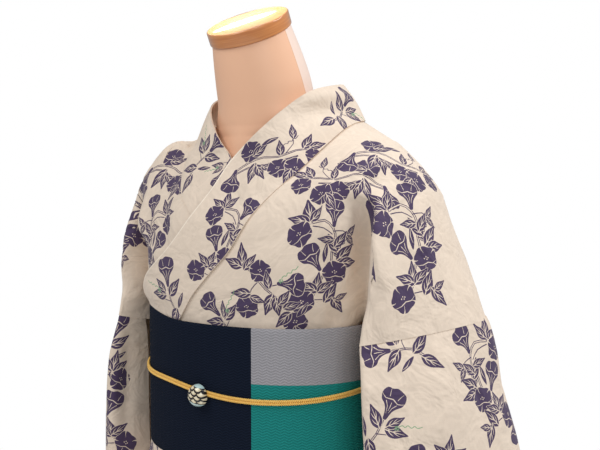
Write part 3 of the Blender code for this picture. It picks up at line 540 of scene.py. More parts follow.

# A paler strip along the left collar's free edge paints a highlight on its pressed fold.
strip("collar_left", (420, 0, 700, 0, 990, 0), (0.10, 0.10, 0.10), (0.55, 0.55, 0.55), 3)
# Purple ink deep in the fold at the left arm: partly print, partly painted shade that darkens the fold
strip("bodice_left", STEP[2:], (0.2, -9.5, -13.0, -5.0), (0.6, 0.5, 0.5, 0.0), 1)
print("highest crease:", round(max(float(np.abs(s["grid"] - s["plain"]).max()) for s in sheets.values()), 4), "m")

# %% [markdown]
# ## The printed vines
#
# The cotton is printed with morning-glory vines: open flowers, flowers seen from the side, buds, pointed leaves
# with pale veins and thin stems. A shader could draw them, but such curved shapes are hard to write in nodes, and
# their edges would blur in an export. Each motif is a set of flat outlines here, so its edges stay sharp.


# %% Outlines
def blob(points, steps):
    """A closed smooth outline through a few points."""
    points = np.array(points, float)
    count = len(points)
    around = np.arange(-3, count + 4)
    return curve(around, points[around % count], np.linspace(0, count, steps * count, endpoint=False))


def stroke(points, widths, steps=2):
    """A thin outline along a smooth line, with its own width at every point."""
    last = len(points) - 1
    places = np.linspace(0, last, steps * last + 1)
    line = curve(np.arange(last + 1), points, places)
    width = np.interp(places, np.linspace(0, last, len(widths)), widths)[:, None] / 2
    along = unit(np.gradient(line, axis=0))
    aside = np.stack([-along[:, 1], along[:, 0]], axis=1) * width
    return np.vstack([line + aside, (line - aside)[::-1]])


print("points of a stroke:", len(stroke([(0, 0), (1, 0), (2, 1)], [0.1, 0.1])))


# %% Motif shapes
def flower_open(fine):
    """A wide flower seen from the front: five soft lobes, pale star lines and a pale throat. About 1 across."""
    around = np.linspace(0, 2 * pi, 40 if fine else 24, endpoint=False)
    radius = 0.5 * (1 - 0.11 * np.abs(np.cos(2.5 * around + 0.3)) ** 4 + 0.03 * np.sin(3 * around + 1))
    pale = []
    for step, deep in enumerate((0.30, 0.24, 0.34, 0.22, 0.30)):
        turn = 2 * pi * step / 5 + 0.5
        reach, side = np.array([cos(turn), 0.92 * sin(turn)]), np.array([-sin(turn), cos(turn)])
        pale.append(stroke([reach * 0.52, reach * 0.40 + side * 0.018, reach * deep], [0.060, 0.022, 0.006]))
    pale.append(stroke([(-0.43, -0.12), (-0.20, -0.17), (0.02, -0.13), (0.22, -0.20), (0.42, -0.14)],
                       [0.008, 0.030, 0.030, 0.008]))
    if fine:
        for x, y in ((-0.08, 0.03), (0.0, 0.07), (0.07, 0.02), (0.01, -0.02)):
            pale.append(np.array([(x - 0.026, y), (x, y - 0.030), (x + 0.026, y), (x, y + 0.030)]))
    return np.stack([radius * np.cos(around), 0.92 * radius * np.sin(around)], axis=1), pale


def flower_side(fine):
    """A flower seen from the side: full round lobes on a short funnel, a pale rim line and pale lines down it."""
    head = blob(
        [(-0.40, 0.10), (-0.43, 0.27), (-0.33, 0.44), (-0.15, 0.46), (0.0, 0.52), (0.20, 0.48), (0.37, 0.41),
         (0.43, 0.24), (0.38, 0.06), (0.25, -0.07), (0.15, -0.20), (0.10, -0.36), (0.06, -0.52), (-0.05, -0.52),
         (-0.08, -0.36), (-0.13, -0.20), (-0.23, -0.07), (-0.34, 0.0)],
        3 if fine else 2,
    )
    rim = [(-0.42, 0.20), (-0.24, 0.10), (0.0, 0.15), (0.20, 0.07), (0.42, 0.16)]
    lines = [[(-0.20, 0.04), (-0.08, -0.12), (-0.03, -0.34)], [(0.19, 0.02), (0.09, -0.12), (0.04, -0.30)]]
    if fine:
        lines += [[(-0.14, 0.20), (-0.17, 0.32), (-0.20, 0.45)], [(0.16, 0.18), (0.20, 0.30), (0.26, 0.42)],
                  [(0.0, 0.04), (0.01, -0.12), (0.0, -0.24)]]
    pale = [stroke(rim, [0.010, 0.032, 0.032, 0.010])]
    return head, pale + [stroke(line, [0.022, 0.018, 0.008], 1) for line in lines]


def bud(fine):
    """A closed bud with a twisted tip."""
    shape = blob([(0, 0.5), (0.11, 0.25), (0.13, -0.1), (0.0, -0.5), (-0.13, -0.1), (-0.08, 0.25)], 3 if fine else 2)
    return shape, [stroke([(0.03, 0.4), (-0.03, 0.12), (0.05, -0.2)], [0.012, 0.04, 0.012])]


def leaf(fine):
    """A pointed leaf with a pale mid vein and pale veins that run along with it, its stalk at the low end."""
    shape = blob(
        [(0, 0.54), (0.11, 0.30), (0.23, 0.02), (0.21, -0.26), (0.04, -0.46), (-0.05, -0.46), (-0.21, -0.24),
         (-0.22, 0.04), (-0.09, 0.32)],
        3 if fine else 2,
    )
    pale = [stroke([(0, 0.40), (0.012, 0.0), (0, -0.48)], [0.008, 0.034, 0.042])]
    for side in (-1, 1) if fine else ():
        for low, high, reach in ((-0.34, -0.04, 0.155), (-0.12, 0.20, 0.105)):
            pale.append(stroke([(0, low), (side * reach * 0.7, (low + high) / 2), (side * reach, high)],
                               [0.028, 0.030, 0.008], 1))
    return shape, pale


SHAPES = {
    fine: {"open": flower_open(fine), "side": flower_side(fine), "bud": bud(fine), "leaf": leaf(fine)}
    for fine in (False, True)
}
print("points of each motif:", {kind: len(shape) for kind, (shape, _) in SHAPES[True].items()})

# %% Vines
# Every vine is in millimetres with y up: stems as (points, width), motifs as (kind, x, y, turn, size).
VINES = {
    "tall": ([
        ([(-20, 58), (2, 62), (14, 50), (16, 34), (10, 18), (8, 2), (-4, -12), (-12, -26), (-22, -42)], 3.6),
        ([(-18, 54), (0, 52), (12, 42)], 1.5), ([(14, 46), (28, 44), (38, 36)], 1.4),
        ([(10, 18), (20, 12), (26, 6)], 1.4), ([(-22, -44), (-2, -46), (12, -52)], 1.4),
    ], [
        ("leaf", -26, 72, 20, 21), ("leaf", -36, 62, 75, 18), ("leaf", -14, 71, -35, 17), ("open", -34, 44, 40, 26),
        ("side", 20, 70, -15, 28), ("leaf", 12, 30, 25, 17), ("leaf", 23, 33, -45, 16), ("leaf", 3, 36, 80, 14),
        ("leaf", 41, 42, -50, 13), ("leaf", 38, 30, -140, 12), ("leaf", 29, 15, -55, 20), ("leaf", 33, 1, -95, 18),
        ("side", -17, 12, 30, 29), ("bud", 1, 18, -10, 18), ("open", 12, -10, 0, 26), ("leaf", -13, -22, -15, 18),
        ("leaf", -25, -26, 60, 18), ("leaf", -3, -28, -60, 16), ("open", -36, -46, 15, 28),
        ("leaf", 4, -38, -35, 19), ("leaf", 14, -57, -150, 18), ("leaf", 20, -45, -70, 12),
    ]),
    "spray": ([
        ([(-46, 26), (-30, 20), (-16, 10), (-4, 0), (10, -8), (24, -22), (34, -34)], 3.6),
        ([(-4, 2), (10, 8), (20, 8)], 1.5), ([(-16, 8), (-24, -4), (-26, -20)], 1.5), ([(8, -8), (6, -20)], 1.2),
    ], [
        ("leaf", -48, 37, 15, 20), ("leaf", -58, 25, 80, 18), ("leaf", -34, 30, -30, 16), ("open", -16, 22, 0, 24),
        ("side", 30, 12, -85, 28), ("leaf", -3, 12, 20, 15), ("leaf", 3, -20, 165, 20), ("leaf", 14, -22, -165, 17),
        ("open", -28, -30, 20, 26), ("leaf", -38, -12, 100, 18), ("leaf", -14, -16, -100, 14),
        ("leaf", 22, -8, -30, 15), ("leaf", 33, -18, -60, 16), ("open", 40, -42, 40, 27), ("leaf", 24, -40, 140, 18),
        ("bud", 48, -22, -30, 18), ("leaf", 44, -60, -160, 16),
    ]),
    "long": ([
        ([(-60, -12), (-38, 0), (-14, 4), (10, 0), (34, 10), (58, 18)], 3.6),
        ([(-58, -16), (-34, -8), (-8, -10), (16, -6), (38, 2)], 3.0), ([(20, 4), (30, 22), (28, 34)], 1.2),
    ], [
        ("open", -36, 18, 10, 28), ("side", -64, -28, 165, 29), ("leaf", -20, 17, -60, 18),
        ("leaf", -31, -20, 170, 22), ("leaf", -18, -20, -150, 19), ("leaf", -5, -16, -110, 15),
        ("open", 10, -18, 30, 24), ("leaf", 12, 14, 10, 16), ("bud", -4, 28, -70, 18), ("open", 36, -18, -20, 27),
        ("leaf", 24, -32, 160, 17), ("open", 64, 6, 0, 24), ("leaf", 50, 28, -20, 18), ("leaf", 66, 28, -60, 16),
        ("leaf", 28, 42, 10, 14),
    ]),
    "sprig": ([
        ([(0, -36), (4, -16), (0, 0), (-6, 14)], 3.2), ([(2, -8), (14, 2)], 1.2),
    ], [
        ("side", -10, 28, 20, 28), ("leaf", 18, 10, -60, 18), ("leaf", 9, 17, -20, 15), ("leaf", -13, 4, 70, 18),
        ("bud", -14, -14, 60, 16), ("leaf", 12, -26, -120, 18), ("leaf", -5, -44, 165, 18),
    ]),
}
TENDRIL = [(4, -3), (1, 0), (4, 3), (6, 0), (3, 0), (6, 7), (10, 8), (11, 12), (16, 13), (17, 17), (21, 18), (24, 23)]
GROW = {"leaf": 1.68, "bud": 1.5, "side": 1.30, "open": 1.34}
HALO, STEM_LINE, TENDRIL_WIDTH = 0.0006, 0.0009, 0.0010
BARE, PURPLE, GREEN = 0, 1, 2  # the inks, besides 3, a paler cotton that paints a highlight along a pressed fold

print("motifs of each vine:", {kind: len(motifs) for kind, (_, motifs) in VINES.items()})

# %% Laying the vines out
# Vines given for each piece: kind, place down and across the sheet in thousandths, turn, scale. A
# negative scale mirrors the vine, and a bare one keeps its place free of print.
PLACED = {
    "bodice_left": (
        ("tall", 183, 556, 5, 0.8), ("spray", 142, 306, -8, 0.8), ("long", 342, 597, 12, -0.75),
        ("long", 433, 639, -35, 0.8), ("tall", 358, 861, 12, 0.9), ("sprig", 58, 194, 20, 0.8),
    ),
    "collar_left": (
        ("tall", 622, 875, -15, 0.72), ("long", 410, 542, 10, 0.75), ("sprig", 237, 625, -60, 0.8),
        ("sprig", 840, 667, 30, -0.9),
    ),
    "bodice_right": (
        ("long", 342, 111, -10, 0.8), ("tall", 192, 403, 0, -0.75), ("tall", 283, 778, 0, 0.85),
    ),
    "collar_right": (
        ("sprig", 451, 417, -25, -0.85), ("sprig", 514, 125, 150, 0.6),
    ),
    "sleeve_left": (
        ("tall", 188, 410, 8, -0.85), ("sprig", 250, 192, -50, 0.9), ("sprig", 31, 231, 75, 0.9),
        ("tall", 448, 276, 8, -0.85), ("bare", 156, 308, 0, 1), ("bare", 260, 276, 0, 1),
    ),
    "sleeve_right": (
        ("sprig", 135, 147, 10, -0.9), ("tall", 344, 167, 0, -0.9), ("bare", 260, 32, 0, 1),
    ),
}
ROW_PITCH = COLUMN_PITCH = 0.112
VINE_ROOM = 0.088
MORE_KINDS = ("tall", "spray", "long", "sprig", "tall", "long", "spray")
MORE_TURNS = (-12, 158, 20, 195, 8, -25, 172, 35, 185)


def motif(kind, x, y, turn, size, fine):
    """Outlines and inks of a shape turned anticlockwise from upright. A fine one has a narrow bare edge."""
    shape, pale = SHAPES[fine][kind]
    reach = shape - shape.mean(axis=0)
    grown = shape + reach / np.maximum(np.linalg.norm(reach, axis=1, keepdims=True), 1e-6) * HALO / size
    drawn = [(grown, BARE)] * fine + [(shape, PURPLE)] + [(line, BARE) for line in pale]
    cosine, sine = cos(radians(turn)), sin(radians(turn))
    spin = np.array([[cosine, sine], [-sine, cosine]])
    return [(np.array([x, y]) + (outline * size) @ spin, ink) for outline, ink in drawn]


def vine(kind, scale, fine=True):
    """One vine's outlines and inks in printing order, with y up. A fine one has all its veins."""
    size, side = abs(scale) * 0.001, -1.0 if scale < 0 else 1.0
    stems, motifs = VINES[kind]
    drawn = []
    for points, width in stems:
        points = [(side * x * size, y * size) for x, y in points]
        width *= size
        drawn.append((stroke(points, [width, width * 0.8]), PURPLE))
        if width > 2.2 * STEM_LINE:
            drawn.append((stroke(points, [width - 2 * STEM_LINE, width * 0.8 - 2 * STEM_LINE]), BARE))
    for shape, x, y, turn, across in motifs:
        drawn += motif(shape, side * x * size, y * size, side * turn, across * GROW[shape] * size, fine)
    curl = [(side * (x + 12) * size, (y + 14) * size) for x, y in TENDRIL]
    ink = GREEN if kind in ("spray", "sprig") else PURPLE
    return drawn + [(stroke(curl, [TENDRIL_WIDTH, TENDRIL_WIDTH * 0.8], 4 if fine else 2), ink)]


def vines_on(name, sheet):
    """The listed vines of a piece, then more in staggered rows wherever there is room for them."""
    grid = sheet["plain"]
    last = np.array(grid.shape[:2]) - 1
    prints, middles = [], []
    for kind, down, across, turn, scale in PLACED.get(name, ()):
        start = np.array([down, across]) / 1000 * last
        middles.append(read_grid(grid, start[None])[0])
        if kind != "bare":
            prints.append((vine(kind, scale), start, turn))
    height, width = lengths(grid, 0)[-1].mean(), lengths(grid, 1)[:, -1].mean()
    count = 0
    for line in range(int(height / ROW_PITCH) + 2):
        for place in range(int(width / COLUMN_PITCH) + 2):
            along = (place + 0.5 * (line % 2)) * COLUMN_PITCH
            start = np.array([line * ROW_PITCH / height, along / width]) * last
            count += 1
            middle = read_grid(grid, start[None])[0]
            if (start <= last).all() and all(np.linalg.norm(middle - other) > VINE_ROOM for other in middles):
                mirror = -1 if count % 2 == 0 else 1
                prints.append((vine(MORE_KINDS[count % 7], 0.8 * mirror, False), start, MORE_TURNS[count % 9]))
                middles.append(middle)
    return prints


print("vines placed by hand:", sum(map(len, PLACED.values())))


# %% [markdown]
# ## Cutting the print into the cloth
#
# Dye lies in the cloth itself. Separate faces on top of it would flicker or cast shadows, so the sheet's own faces
# are cut along the outlines instead, and each face gets the cotton of its ink. First every outline is walked over
# the curved sheet, so that a motif keeps its size wherever it lies. Then the flat sheet is cut into triangles along
# the outlines, and its points are read back onto the cloth.


# %% Walking over the cloth
def walk(sheet, start, turn, offsets, steps=12):
    """Rows and columns reached from start by walking each flat offset along the cloth. Turn 0 is upright."""
    grid = sheet["plain"]
    fields = np.dstack([np.gradient(grid, axis=0), np.gradient(grid, axis=1)])
    at = np.repeat([start], len(offsets), axis=0).astype(float)
    first = read_grid(fields, at[:1])[0]
    normal = unit(np.cross(first[3:], first[:3])) * (-1.0 if sheet["flip"] else 1.0)
    up = unit(np.array([0, 0, 1.0]) - normal * normal[2])
    right = np.cross(up, normal)
    cosine, sine = cos(radians(turn)), sin(radians(turn))
    heading = offsets[:, :1] * (right * cosine + up * sine) + offsets[:, 1:] * (up * cosine - right * sine)
    length = np.linalg.norm(heading, axis=1, keepdims=True)
    for _ in range(steps):
        down, across = np.split(read_grid(fields, at), 2, axis=1)
        dd, aa, da, hd, ha = ((p * q).sum(axis=1) for p, q in (
            (down, down), (across, across), (down, across), (heading, down), (heading, across)))
        bottom = np.maximum(dd * aa - da * da, 1e-16)
        rows, columns = (hd * aa - ha * da) / bottom, (ha * dd - hd * da) / bottom
        moved = down * rows[:, None] + across * columns[:, None]
        keep_length = length / np.maximum(np.linalg.norm(moved, axis=1, keepdims=True), 1e-12)
        at += np.stack([rows, columns], axis=1) * keep_length / steps
        heading = moved * keep_length
    return at


walked = walk(sheets["collar_left"], (100, 12), 0, np.array([[0, 0.01]]))[0]
print("1 cm up the left collar from row 100, column 12:", walked.round(1))


# %% Faces along the outlines
def triangulate(points, outlines, size):
    """Triangles of a rectangle through points, cut along the outlines."""
    width, height = size
    all_points = [(0, 0), (width, 0), (width, height), (0, height), *points.tolist()]
    edges = [(0, 1), (1, 2), (2, 3), (3, 0)]
    for outline in outlines:
        start, count = len(all_points), len(outline)
        all_points.extend(outline.tolist())
        edges.extend((start + place, start + (place + 1) % count) for place in range(count))
    found = delaunay_2d_cdt([Vector(p) for p in all_points], edges, [], 0, 1e-6, False)
    vertices, triangles = np.array([tuple(v) for v in found[0]]), np.array(found[2])
    middle = vertices[triangles].mean(axis=1)
    return vertices, triangles[((middle > 0) & (middle < size)).all(axis=1)]


def contains(outline, points):
    """Which points lie inside a closed outline."""
    x, y = points.T
    found = np.zeros(len(points), dtype=bool)
    for (ax, ay), (bx, by) in zip(outline, np.roll(outline, -1, axis=0)):
        if ay != by:
            found ^= ((ay > y) != (by > y)) & (x < (bx - ax) * (y - ay) / (by - ay) + ax)
    return found


def inks_at(points, drawn):
    """The ink of the last outline that holds each point, or bare."""
    order = np.argsort(points[:, 0])
    sorted_x = points[order, 0]
    found = np.full(len(points), BARE)
    for outline, ink in drawn:
        low, high = outline.min(axis=0), outline.max(axis=0)
        near = order[slice(*np.searchsorted(sorted_x, [low[0], high[0]]))]
        near = near[(points[near, 1] > low[1]) & (points[near, 1] < high[1])]
        found[near[contains(outline, points[near])]] = ink
    return found


def round_edge(points, size):
    """The points on the rectangle's edge, in order round it."""
    (x, y), (width, height) = points.T, size
    sides = [np.abs(y) < 1e-6, np.abs(x - width) < 1e-6, np.abs(y - height) < 1e-6, np.abs(x) < 1e-6]
    way = np.select(sides, [x, width + y, 2 * width + height - x, 2 * width + 2 * height - y])
    found = np.nonzero(np.any(sides, axis=0))[0]
    return found[np.argsort(way[found])]


print("triangles of a square:", len(triangulate(np.zeros((0, 2)), [], (1, 1))[1]))


# %% Objects and meshes
def add_object(name, data):
    made = bpy.data.objects.new(name, data)
    bpy.context.scene.collection.objects.link(made)
    return made


def add_mesh(name, points, faces, materials, inks=None, flats=None):
    """A new smooth object. Inks choose each face's material, and flats are the cut coordinates of its corners."""
    mesh = bpy.data.meshes.new(name)
    mesh.from_pydata(points.tolist(), [], faces.tolist())
    for material in materials:
        mesh.materials.append(material)
    if inks is not None:
        mesh.polygons.foreach_set("material_index", inks.ravel())
        mesh.uv_layers.new(name="cut").data.foreach_set("uv", flats.ravel())
    mesh.shade_smooth()
    return add_object(name, mesh)


def hand_in(made, node=None):
    """A finished piece rides the part's one body and takes the place of its CAD node."""
    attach(made, "root")
    if node:
        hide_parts(node)


# %% One closed sheet
def cut_sheet(name, sheet, prints, materials, thickness, coarse=3):
    """The cloth piece as one closed thin mesh: the printed outer face, a plain inner face and the edge."""
    grid, out = sheet["grid"], outward(sheet)
    rows, columns = grid.shape[:2]
    cell = np.array([lengths(grid, 1)[:, -1].mean() / (columns - 1), lengths(grid, 0)[-1].mean() / (rows - 1)])
    size = cell * [columns - 1, rows - 1]
    drawn = [(outline[:, ::-1] * cell, ink) for outline, ink in sheet.get("strips", ())]
    for outlines, start, turn in prints:
        ends = np.cumsum([len(outline) for outline, _ in outlines])
        reached = walk(sheet, start, turn, np.vstack([outline for outline, _ in outlines]))
        for placed, (_, ink) in zip(np.split(reached[:, ::-1] * cell, ends[:-1]), outlines):
            if (placed.max(axis=0) > 0).all() and (placed.min(axis=0) < size).all():
                drawn.append((placed, ink))
    points = np.stack(np.meshgrid(np.arange(columns), np.arange(rows)), axis=-1) * cell
    vertices, triangles = triangulate(points.reshape(-1, 2), [outline for outline, _ in drawn], size)
    inks = inks_at(vertices[triangles].mean(axis=1), drawn)
    used, triangles = np.unique(triangles, return_inverse=True)
    vertices, triangles = vertices[used], triangles.reshape(-1, 3)
    near = round_edge(vertices, size)
    inside = points[coarse:-1:coarse, coarse:-1:coarse].reshape(-1, 2)
    inner, inner_triangles = triangulate(np.vstack([vertices[near], inside]), [], size)
    far = round_edge(inner, size)
    assert len(far) == len(near), name
    outer_places, inner_places = vertices[:, ::-1] / cell[::-1], inner[:, ::-1] / cell[::-1]
    outer_normals, inner_normals = unit(read_grid(out, outer_places)), unit(read_grid(out, inner_places))
    places = np.vstack([read_grid(grid, outer_places), read_grid(grid, inner_places) - inner_normals * thickness])
    flats = read_grid(np.dstack([sheet["u"] * sheet["sign"], -sheet["v"]]), np.vstack([outer_places, inner_places]))
    far = far + len(vertices)
    after, far_after = np.roll(near, -1), np.roll(far, -1)
    rim = np.vstack([np.stack([after, near, far], axis=1), np.stack([after, far, far_after], axis=1)])
    faces = np.vstack([triangles, inner_triangles[:, ::-1] + len(vertices), rim])
    if sheet["flip"]:
        faces = faces[:, ::-1]
    inks = np.pad(inks, (0, len(faces) - len(inks)))
    made = add_mesh(name, places, faces, materials, inks, flats[faces])
    normals = np.vstack([outer_normals, -inner_normals])[faces]
    a, b, c = np.moveaxis(places[faces[-len(rim):]], 1, 0)
    normals[-len(rim):] = unit(np.cross(b - a, c - a))[:, None]
    made.data.normals_split_custom_set(normals.reshape(-1, 3).tolist())
    return made


print("sheets to cut:", ", ".join(sheets))

# %% [markdown]
# ## Looks
#
# The cloths and the bead have fine textures: slubs, the uneven threads of cotton, with a faint woven scroll between
# them, zigzag ribs on the belt and round scales on the bead. Pictures could show them, but nodes stay sharp at any
# size. An effect that several materials use is a node group. Each group only gives masks, and the shaders
# themselves stay in the materials.


# %% Node helpers
class Nodes:
    """Short ways to add and join nodes in one tree."""

    def __init__(self, tree):
        self.tree = tree

    def add(self, kind, settings=None, **inputs):
        """A new node. Inputs go by name, with _ for a space, or by number as _0."""
        node = self.tree.nodes.new(kind if kind.startswith(("Geometry", "Function")) else "ShaderNode" + kind)
        for key, value in (settings or {}).items():
            setattr(node, key, value)
        for key, value in inputs.items():
            self.put(node.inputs[int(key[1:]) if key[1:].isdigit() else key.replace("_", " ")], value)
        return node

    def put(self, socket, value):
        """Sets an input, or links it to a socket or to a node's first output."""
        if isinstance(value, bpy.types.Node):
            value = value.outputs[0]
        if isinstance(value, bpy.types.NodeSocket):
            self.tree.links.new(value, socket)
        else:
            socket.default_value = value

    def math(self, operation, *values):
        values = {f"_{place}": value for place, value in enumerate(values)}
        return self.add("Math", {"operation": operation}, **values).outputs[0]

    def blend(self, part, first, second):
        """The second colour over the first by a part."""
        colours = ((*colour, 1.0) if isinstance(colour, tuple) else colour for colour in (first, second))
        return self.add("Mix", {"data_type": "RGBA"}, **dict(zip(("_0", "_6", "_7"), (part, *colours)))).outputs[2]

    def use(self, tree, **inputs):
        return self.add("Group", {"node_tree": tree}, **inputs)

    def look(self, **inputs):
        """Sets or links inputs of the material's own shader."""
        for key, value in inputs.items():
            self.put(self.shader.inputs[key.replace("_", " ")], value)


def group(name, inputs, outputs, fill, kind="ShaderNodeTree"):
    """A node group; inputs and outputs are given as name=socket kind."""
    tree = bpy.data.node_groups.new(name, kind)
    for direction, sockets in (("INPUT", inputs), ("OUTPUT", outputs)):
        for label, socket in sockets.items():
            tree.interface.new_socket(name=label, in_out=direction, socket_type="NodeSocket" + socket)
    fill(Nodes(tree), tree.nodes.new("NodeGroupInput").outputs, tree.nodes.new("NodeGroupOutput").inputs)
    return tree


def surface(name, colour, roughness, **more):
    """A new material's nodes, which keep the material and its Principled shader."""
    material = bpy.data.materials.new(name)
    material.use_nodes = True
    nodes = Nodes(material.node_tree)
    nodes.material, nodes.shader = material, material.node_tree.nodes["Principled BSDF"]
    nodes.look(Base_Color=(*colour, 1.0), Roughness=roughness, **more)
    return nodes


print("node helpers:", [name for name in vars(Nodes) if not name.startswith("_")])

# %% Node groups
def fill_slubs(nodes, given, out):
    """Uneven threads both ways of the cloth, from its flat coordinates in metres."""
    threads = []
    for stretch in ((90.0, 900.0, 1.0), (900.0, 90.0, 1.0)):
        turned = nodes.add("Mapping", Vector=given["Flat"], Scale=stretch)
        noise = nodes.add("TexNoise", Vector=turned, Scale=1.0, Detail=3.0, Roughness=0.6)
        threads.append(nodes.math("MULTIPLY", noise, 0.5))
    fine = nodes.add("TexNoise", Vector=given["Flat"], Scale=1500.0, Detail=2.0)
    nodes.put(out["Threads"], nodes.math("ADD", nodes.math("ADD", *threads), nodes.math("MULTIPLY", fine, 0.25)))


def fill_scroll(nodes, given, out):
    """A faint scrolling figure woven into the cotton."""
    bent = nodes.add("TexNoise", Vector=given["Flat"], Scale=34.0, Detail=1.5).outputs[1]
    shift = nodes.add("VectorMath", {"operation": "MULTIPLY_ADD"}, _0=bent, _1=(0.030, 0.030, 0.0), _2=given["Flat"])
    cells = nodes.add("TexVoronoi", {"feature": "F1"}, Vector=shift, Scale=36.0).outputs["Distance"]
    rings = nodes.math("SINE", nodes.math("MULTIPLY", cells, 24.0))
    mask = nodes.add("MapRange", {"interpolation_type": "SMOOTHSTEP"}, Value=rings, From_Min=0.1, From_Max=0.8)
    split = nodes.add("SeparateXYZ", Vector=given["Flat"])
    slant = nodes.math("ADD", split.outputs[0], nodes.math("MULTIPLY", split.outputs[1], 0.75))
    hatch = nodes.math("MULTIPLY_ADD", nodes.math("SINE", nodes.math("MULTIPLY", slant, 3100.0)), 0.5, 0.5)
    nodes.put(out["Figure"], nodes.math("MULTIPLY", mask, nodes.math("MULTIPLY_ADD", hatch, 0.5, 0.5)))


def fill_zigzag(nodes, given, out):
    """Ribs along the belt that zigzag, from flat coordinates in metres."""
    split = nodes.add("SeparateXYZ", Vector=given["Flat"])
    across = nodes.math("PINGPONG", split.outputs[0], given["Step"])
    height = nodes.math("ADD", split.outputs[1], nodes.math("MULTIPLY", across, given["Slope"]))
    ribs = nodes.math("SINE", nodes.math("MULTIPLY", nodes.math("DIVIDE", height, given["Pitch"]), 2 * pi))
    nodes.put(out["Ribs"], nodes.math("MULTIPLY_ADD", ribs, 0.5, 0.5))


def fill_scales(nodes, given, out):
    """Rows of overlapping round scales: Edge is 1 on each scale's dark rim, Shade falls from it to its middle."""
    row_step, scale_reach, rim_rise, rim_from = 0.55, 0.58, 0.15, 0.46  # all in pitches
    split = nodes.add("SeparateXYZ", Vector=given["Flat"])
    column = nodes.math("DIVIDE", split.outputs[0], given["Pitch"])
    row = nodes.math("DIVIDE", split.outputs[1], nodes.math("MULTIPLY", given["Pitch"], row_step))
    base = nodes.math("FLOOR", row)
    edge, shade = 0.0, 0.0
    for back in (2, 1, 0):
        line = nodes.math("SUBTRACT", base, float(back - 1))
        odd = nodes.math("MULTIPLY", nodes.math("MODULO", nodes.math("ADD", line, 100.0), 2.0), 0.5)
        along = nodes.math("SUBTRACT", nodes.math("FRACT", nodes.math("ADD", column, odd)), 0.5)
        up = nodes.math("MULTIPLY", nodes.math("SUBTRACT", row, line), row_step)
        reach, bow = (
            nodes.math("SQRT", nodes.math("ADD", nodes.math("MULTIPLY", along, along), nodes.math("MULTIPLY", y, y)))
            for y in (up, nodes.math("SUBTRACT", up, rim_rise))
        )
        holds = nodes.math("LESS_THAN", reach, scale_reach)
        free = nodes.math("SUBTRACT", 1.0, holds)
        rim = nodes.math("GREATER_THAN", bow, rim_from)
        edge, shade = (
            nodes.math("ADD", nodes.math("MULTIPLY", holds, new), nodes.math("MULTIPLY", free, old))
            for new, old in ((rim, edge), (reach, shade))
        )
    nodes.put(out["Edge"], edge)
    nodes.put(out["Shade"], shade)


slubs = group("cotton_slubs", dict(Flat="Vector"), dict(Threads="Float"), fill_slubs)
scroll = group("cotton_scroll", dict(Flat="Vector"), dict(Figure="Float"), fill_scroll)
zigzag = group("belt_zigzag", dict(Flat="Vector", Step="Float", Slope="Float", Pitch="Float"), dict(Ribs="Float"),
               fill_zigzag)
scales = group("bead_scales", dict(Flat="Vector", Pitch="Float"), dict(Edge="Float", Shade="Float"), fill_scales)

print("node groups:", [made.name for made in (slubs, scroll, zigzag, scales)])

# %% Cotton
def cotton(name, colour, figure_part=0.10, thread_part=0.8):
    """Cotton in one ink, with its slubs and its woven figure a little lighter."""
    nodes = surface(name, colour, 0.88, Sheen_Weight=0.12, Sheen_Roughness=0.5)
    flat = nodes.add("UVMap", {"uv_map": "cut"})
    threads, figure = nodes.use(slubs, Flat=flat), nodes.use(scroll, Flat=flat)
    mixed = nodes.math("ADD", nodes.math("MULTIPLY", threads, thread_part), nodes.math("MULTIPLY", figure, figure_part))
    light = tuple(min(1.0, part * 1.10 + 0.004) for part in colour)
    dark = tuple(part * 0.86 for part in colour)
    ruffle = nodes.add("TexNoise", Vector=flat, Scale=26.0, Detail=3.0, Roughness=0.55, Distortion=0.6)
    soft = nodes.add("Bump", Height=ruffle, Strength=0.5, Distance=0.012)
    nodes.look(Base_Color=nodes.blend(mixed, dark, light),
               Normal=nodes.add("Bump", Height=threads, Strength=0.25, Distance=0.0006, Normal=soft))
    return nodes.material


cotton_materials = [
    cotton("cotton_bare", (0.790, 0.662, 0.540), 0.20, 0.72),
    cotton("cotton_purple", (0.062, 0.037, 0.096)),
    cotton("cotton_green", (0.22, 0.40, 0.22)),
    # A paler cotton that paints a highlight along the left collar's pressed fold
    cotton("cotton_fold_painted_highlight", (0.96, 0.82, 0.69)),
]
print("cotton materials:", [made.name for made in cotton_materials])


# %% [markdown]
# ## The robe
#
# The real cloth is less than a millimetre thick. The Solidify modifier could give it that, but it would repeat every
# printed face on the inside. Each sheet is closed by hand instead: a printed outer face, a plain inner face with
# fewer points, and a narrow rim between them. The collar is a folded band, so it is twice as thick.

# %% The robe's panels
COLLAR_CLOTH, PANEL_CLOTH = 0.0020, 0.0009
for name, sheet in sheets.items():
    made = cut_sheet(name + "_cloth", sheet, vines_on(name, sheet), cotton_materials,
                     COLLAR_CLOTH if name.startswith("collar") else PANEL_CLOTH, 1 if name == "bodice_left" else 3)
    hand_in(made, name)
    print(f"{made.name:24s} {len(made.data.polygons)} triangles")

# %% [markdown]
# ## Belt
#
# The belt is a stiff ribbed band, wound round the waist and tied flat behind. It is navy on the wearer's right. On
# the left it is grey above and teal below. One material with a mask could colour it, but its own rows and columns
# are placed where the colours meet, so that each face has one of three plain materials and the borders are sharp.


# %% Belt cloth
def belt_cloth(name, colour, contrast):
    """Ribbed belt cloth in one colour, its ribs and threads lighter and darker by the contrast."""
    nodes = surface(name, colour, 0.9, Specular_IOR_Level=0.12)
    flat = nodes.add("UVMap", {"uv_map": "cut"})
    ribs, threads = nodes.use(zigzag, Flat=flat, Step=0.0048, Slope=0.46, Pitch=0.0030), nodes.use(slubs, Flat=flat)
    part = nodes.math("ADD", nodes.math("MULTIPLY", ribs, 0.62), nodes.math("MULTIPLY", threads, 0.40))
    light = tuple(part * (1 + contrast) + 0.003 for part in colour)
    dark = tuple(part * (1 - contrast) for part in colour)
    nodes.look(Base_Color=nodes.blend(part, dark, light),
               Normal=nodes.add("Bump", Height=ribs, Strength=0.6, Distance=0.0008))
    return nodes.material


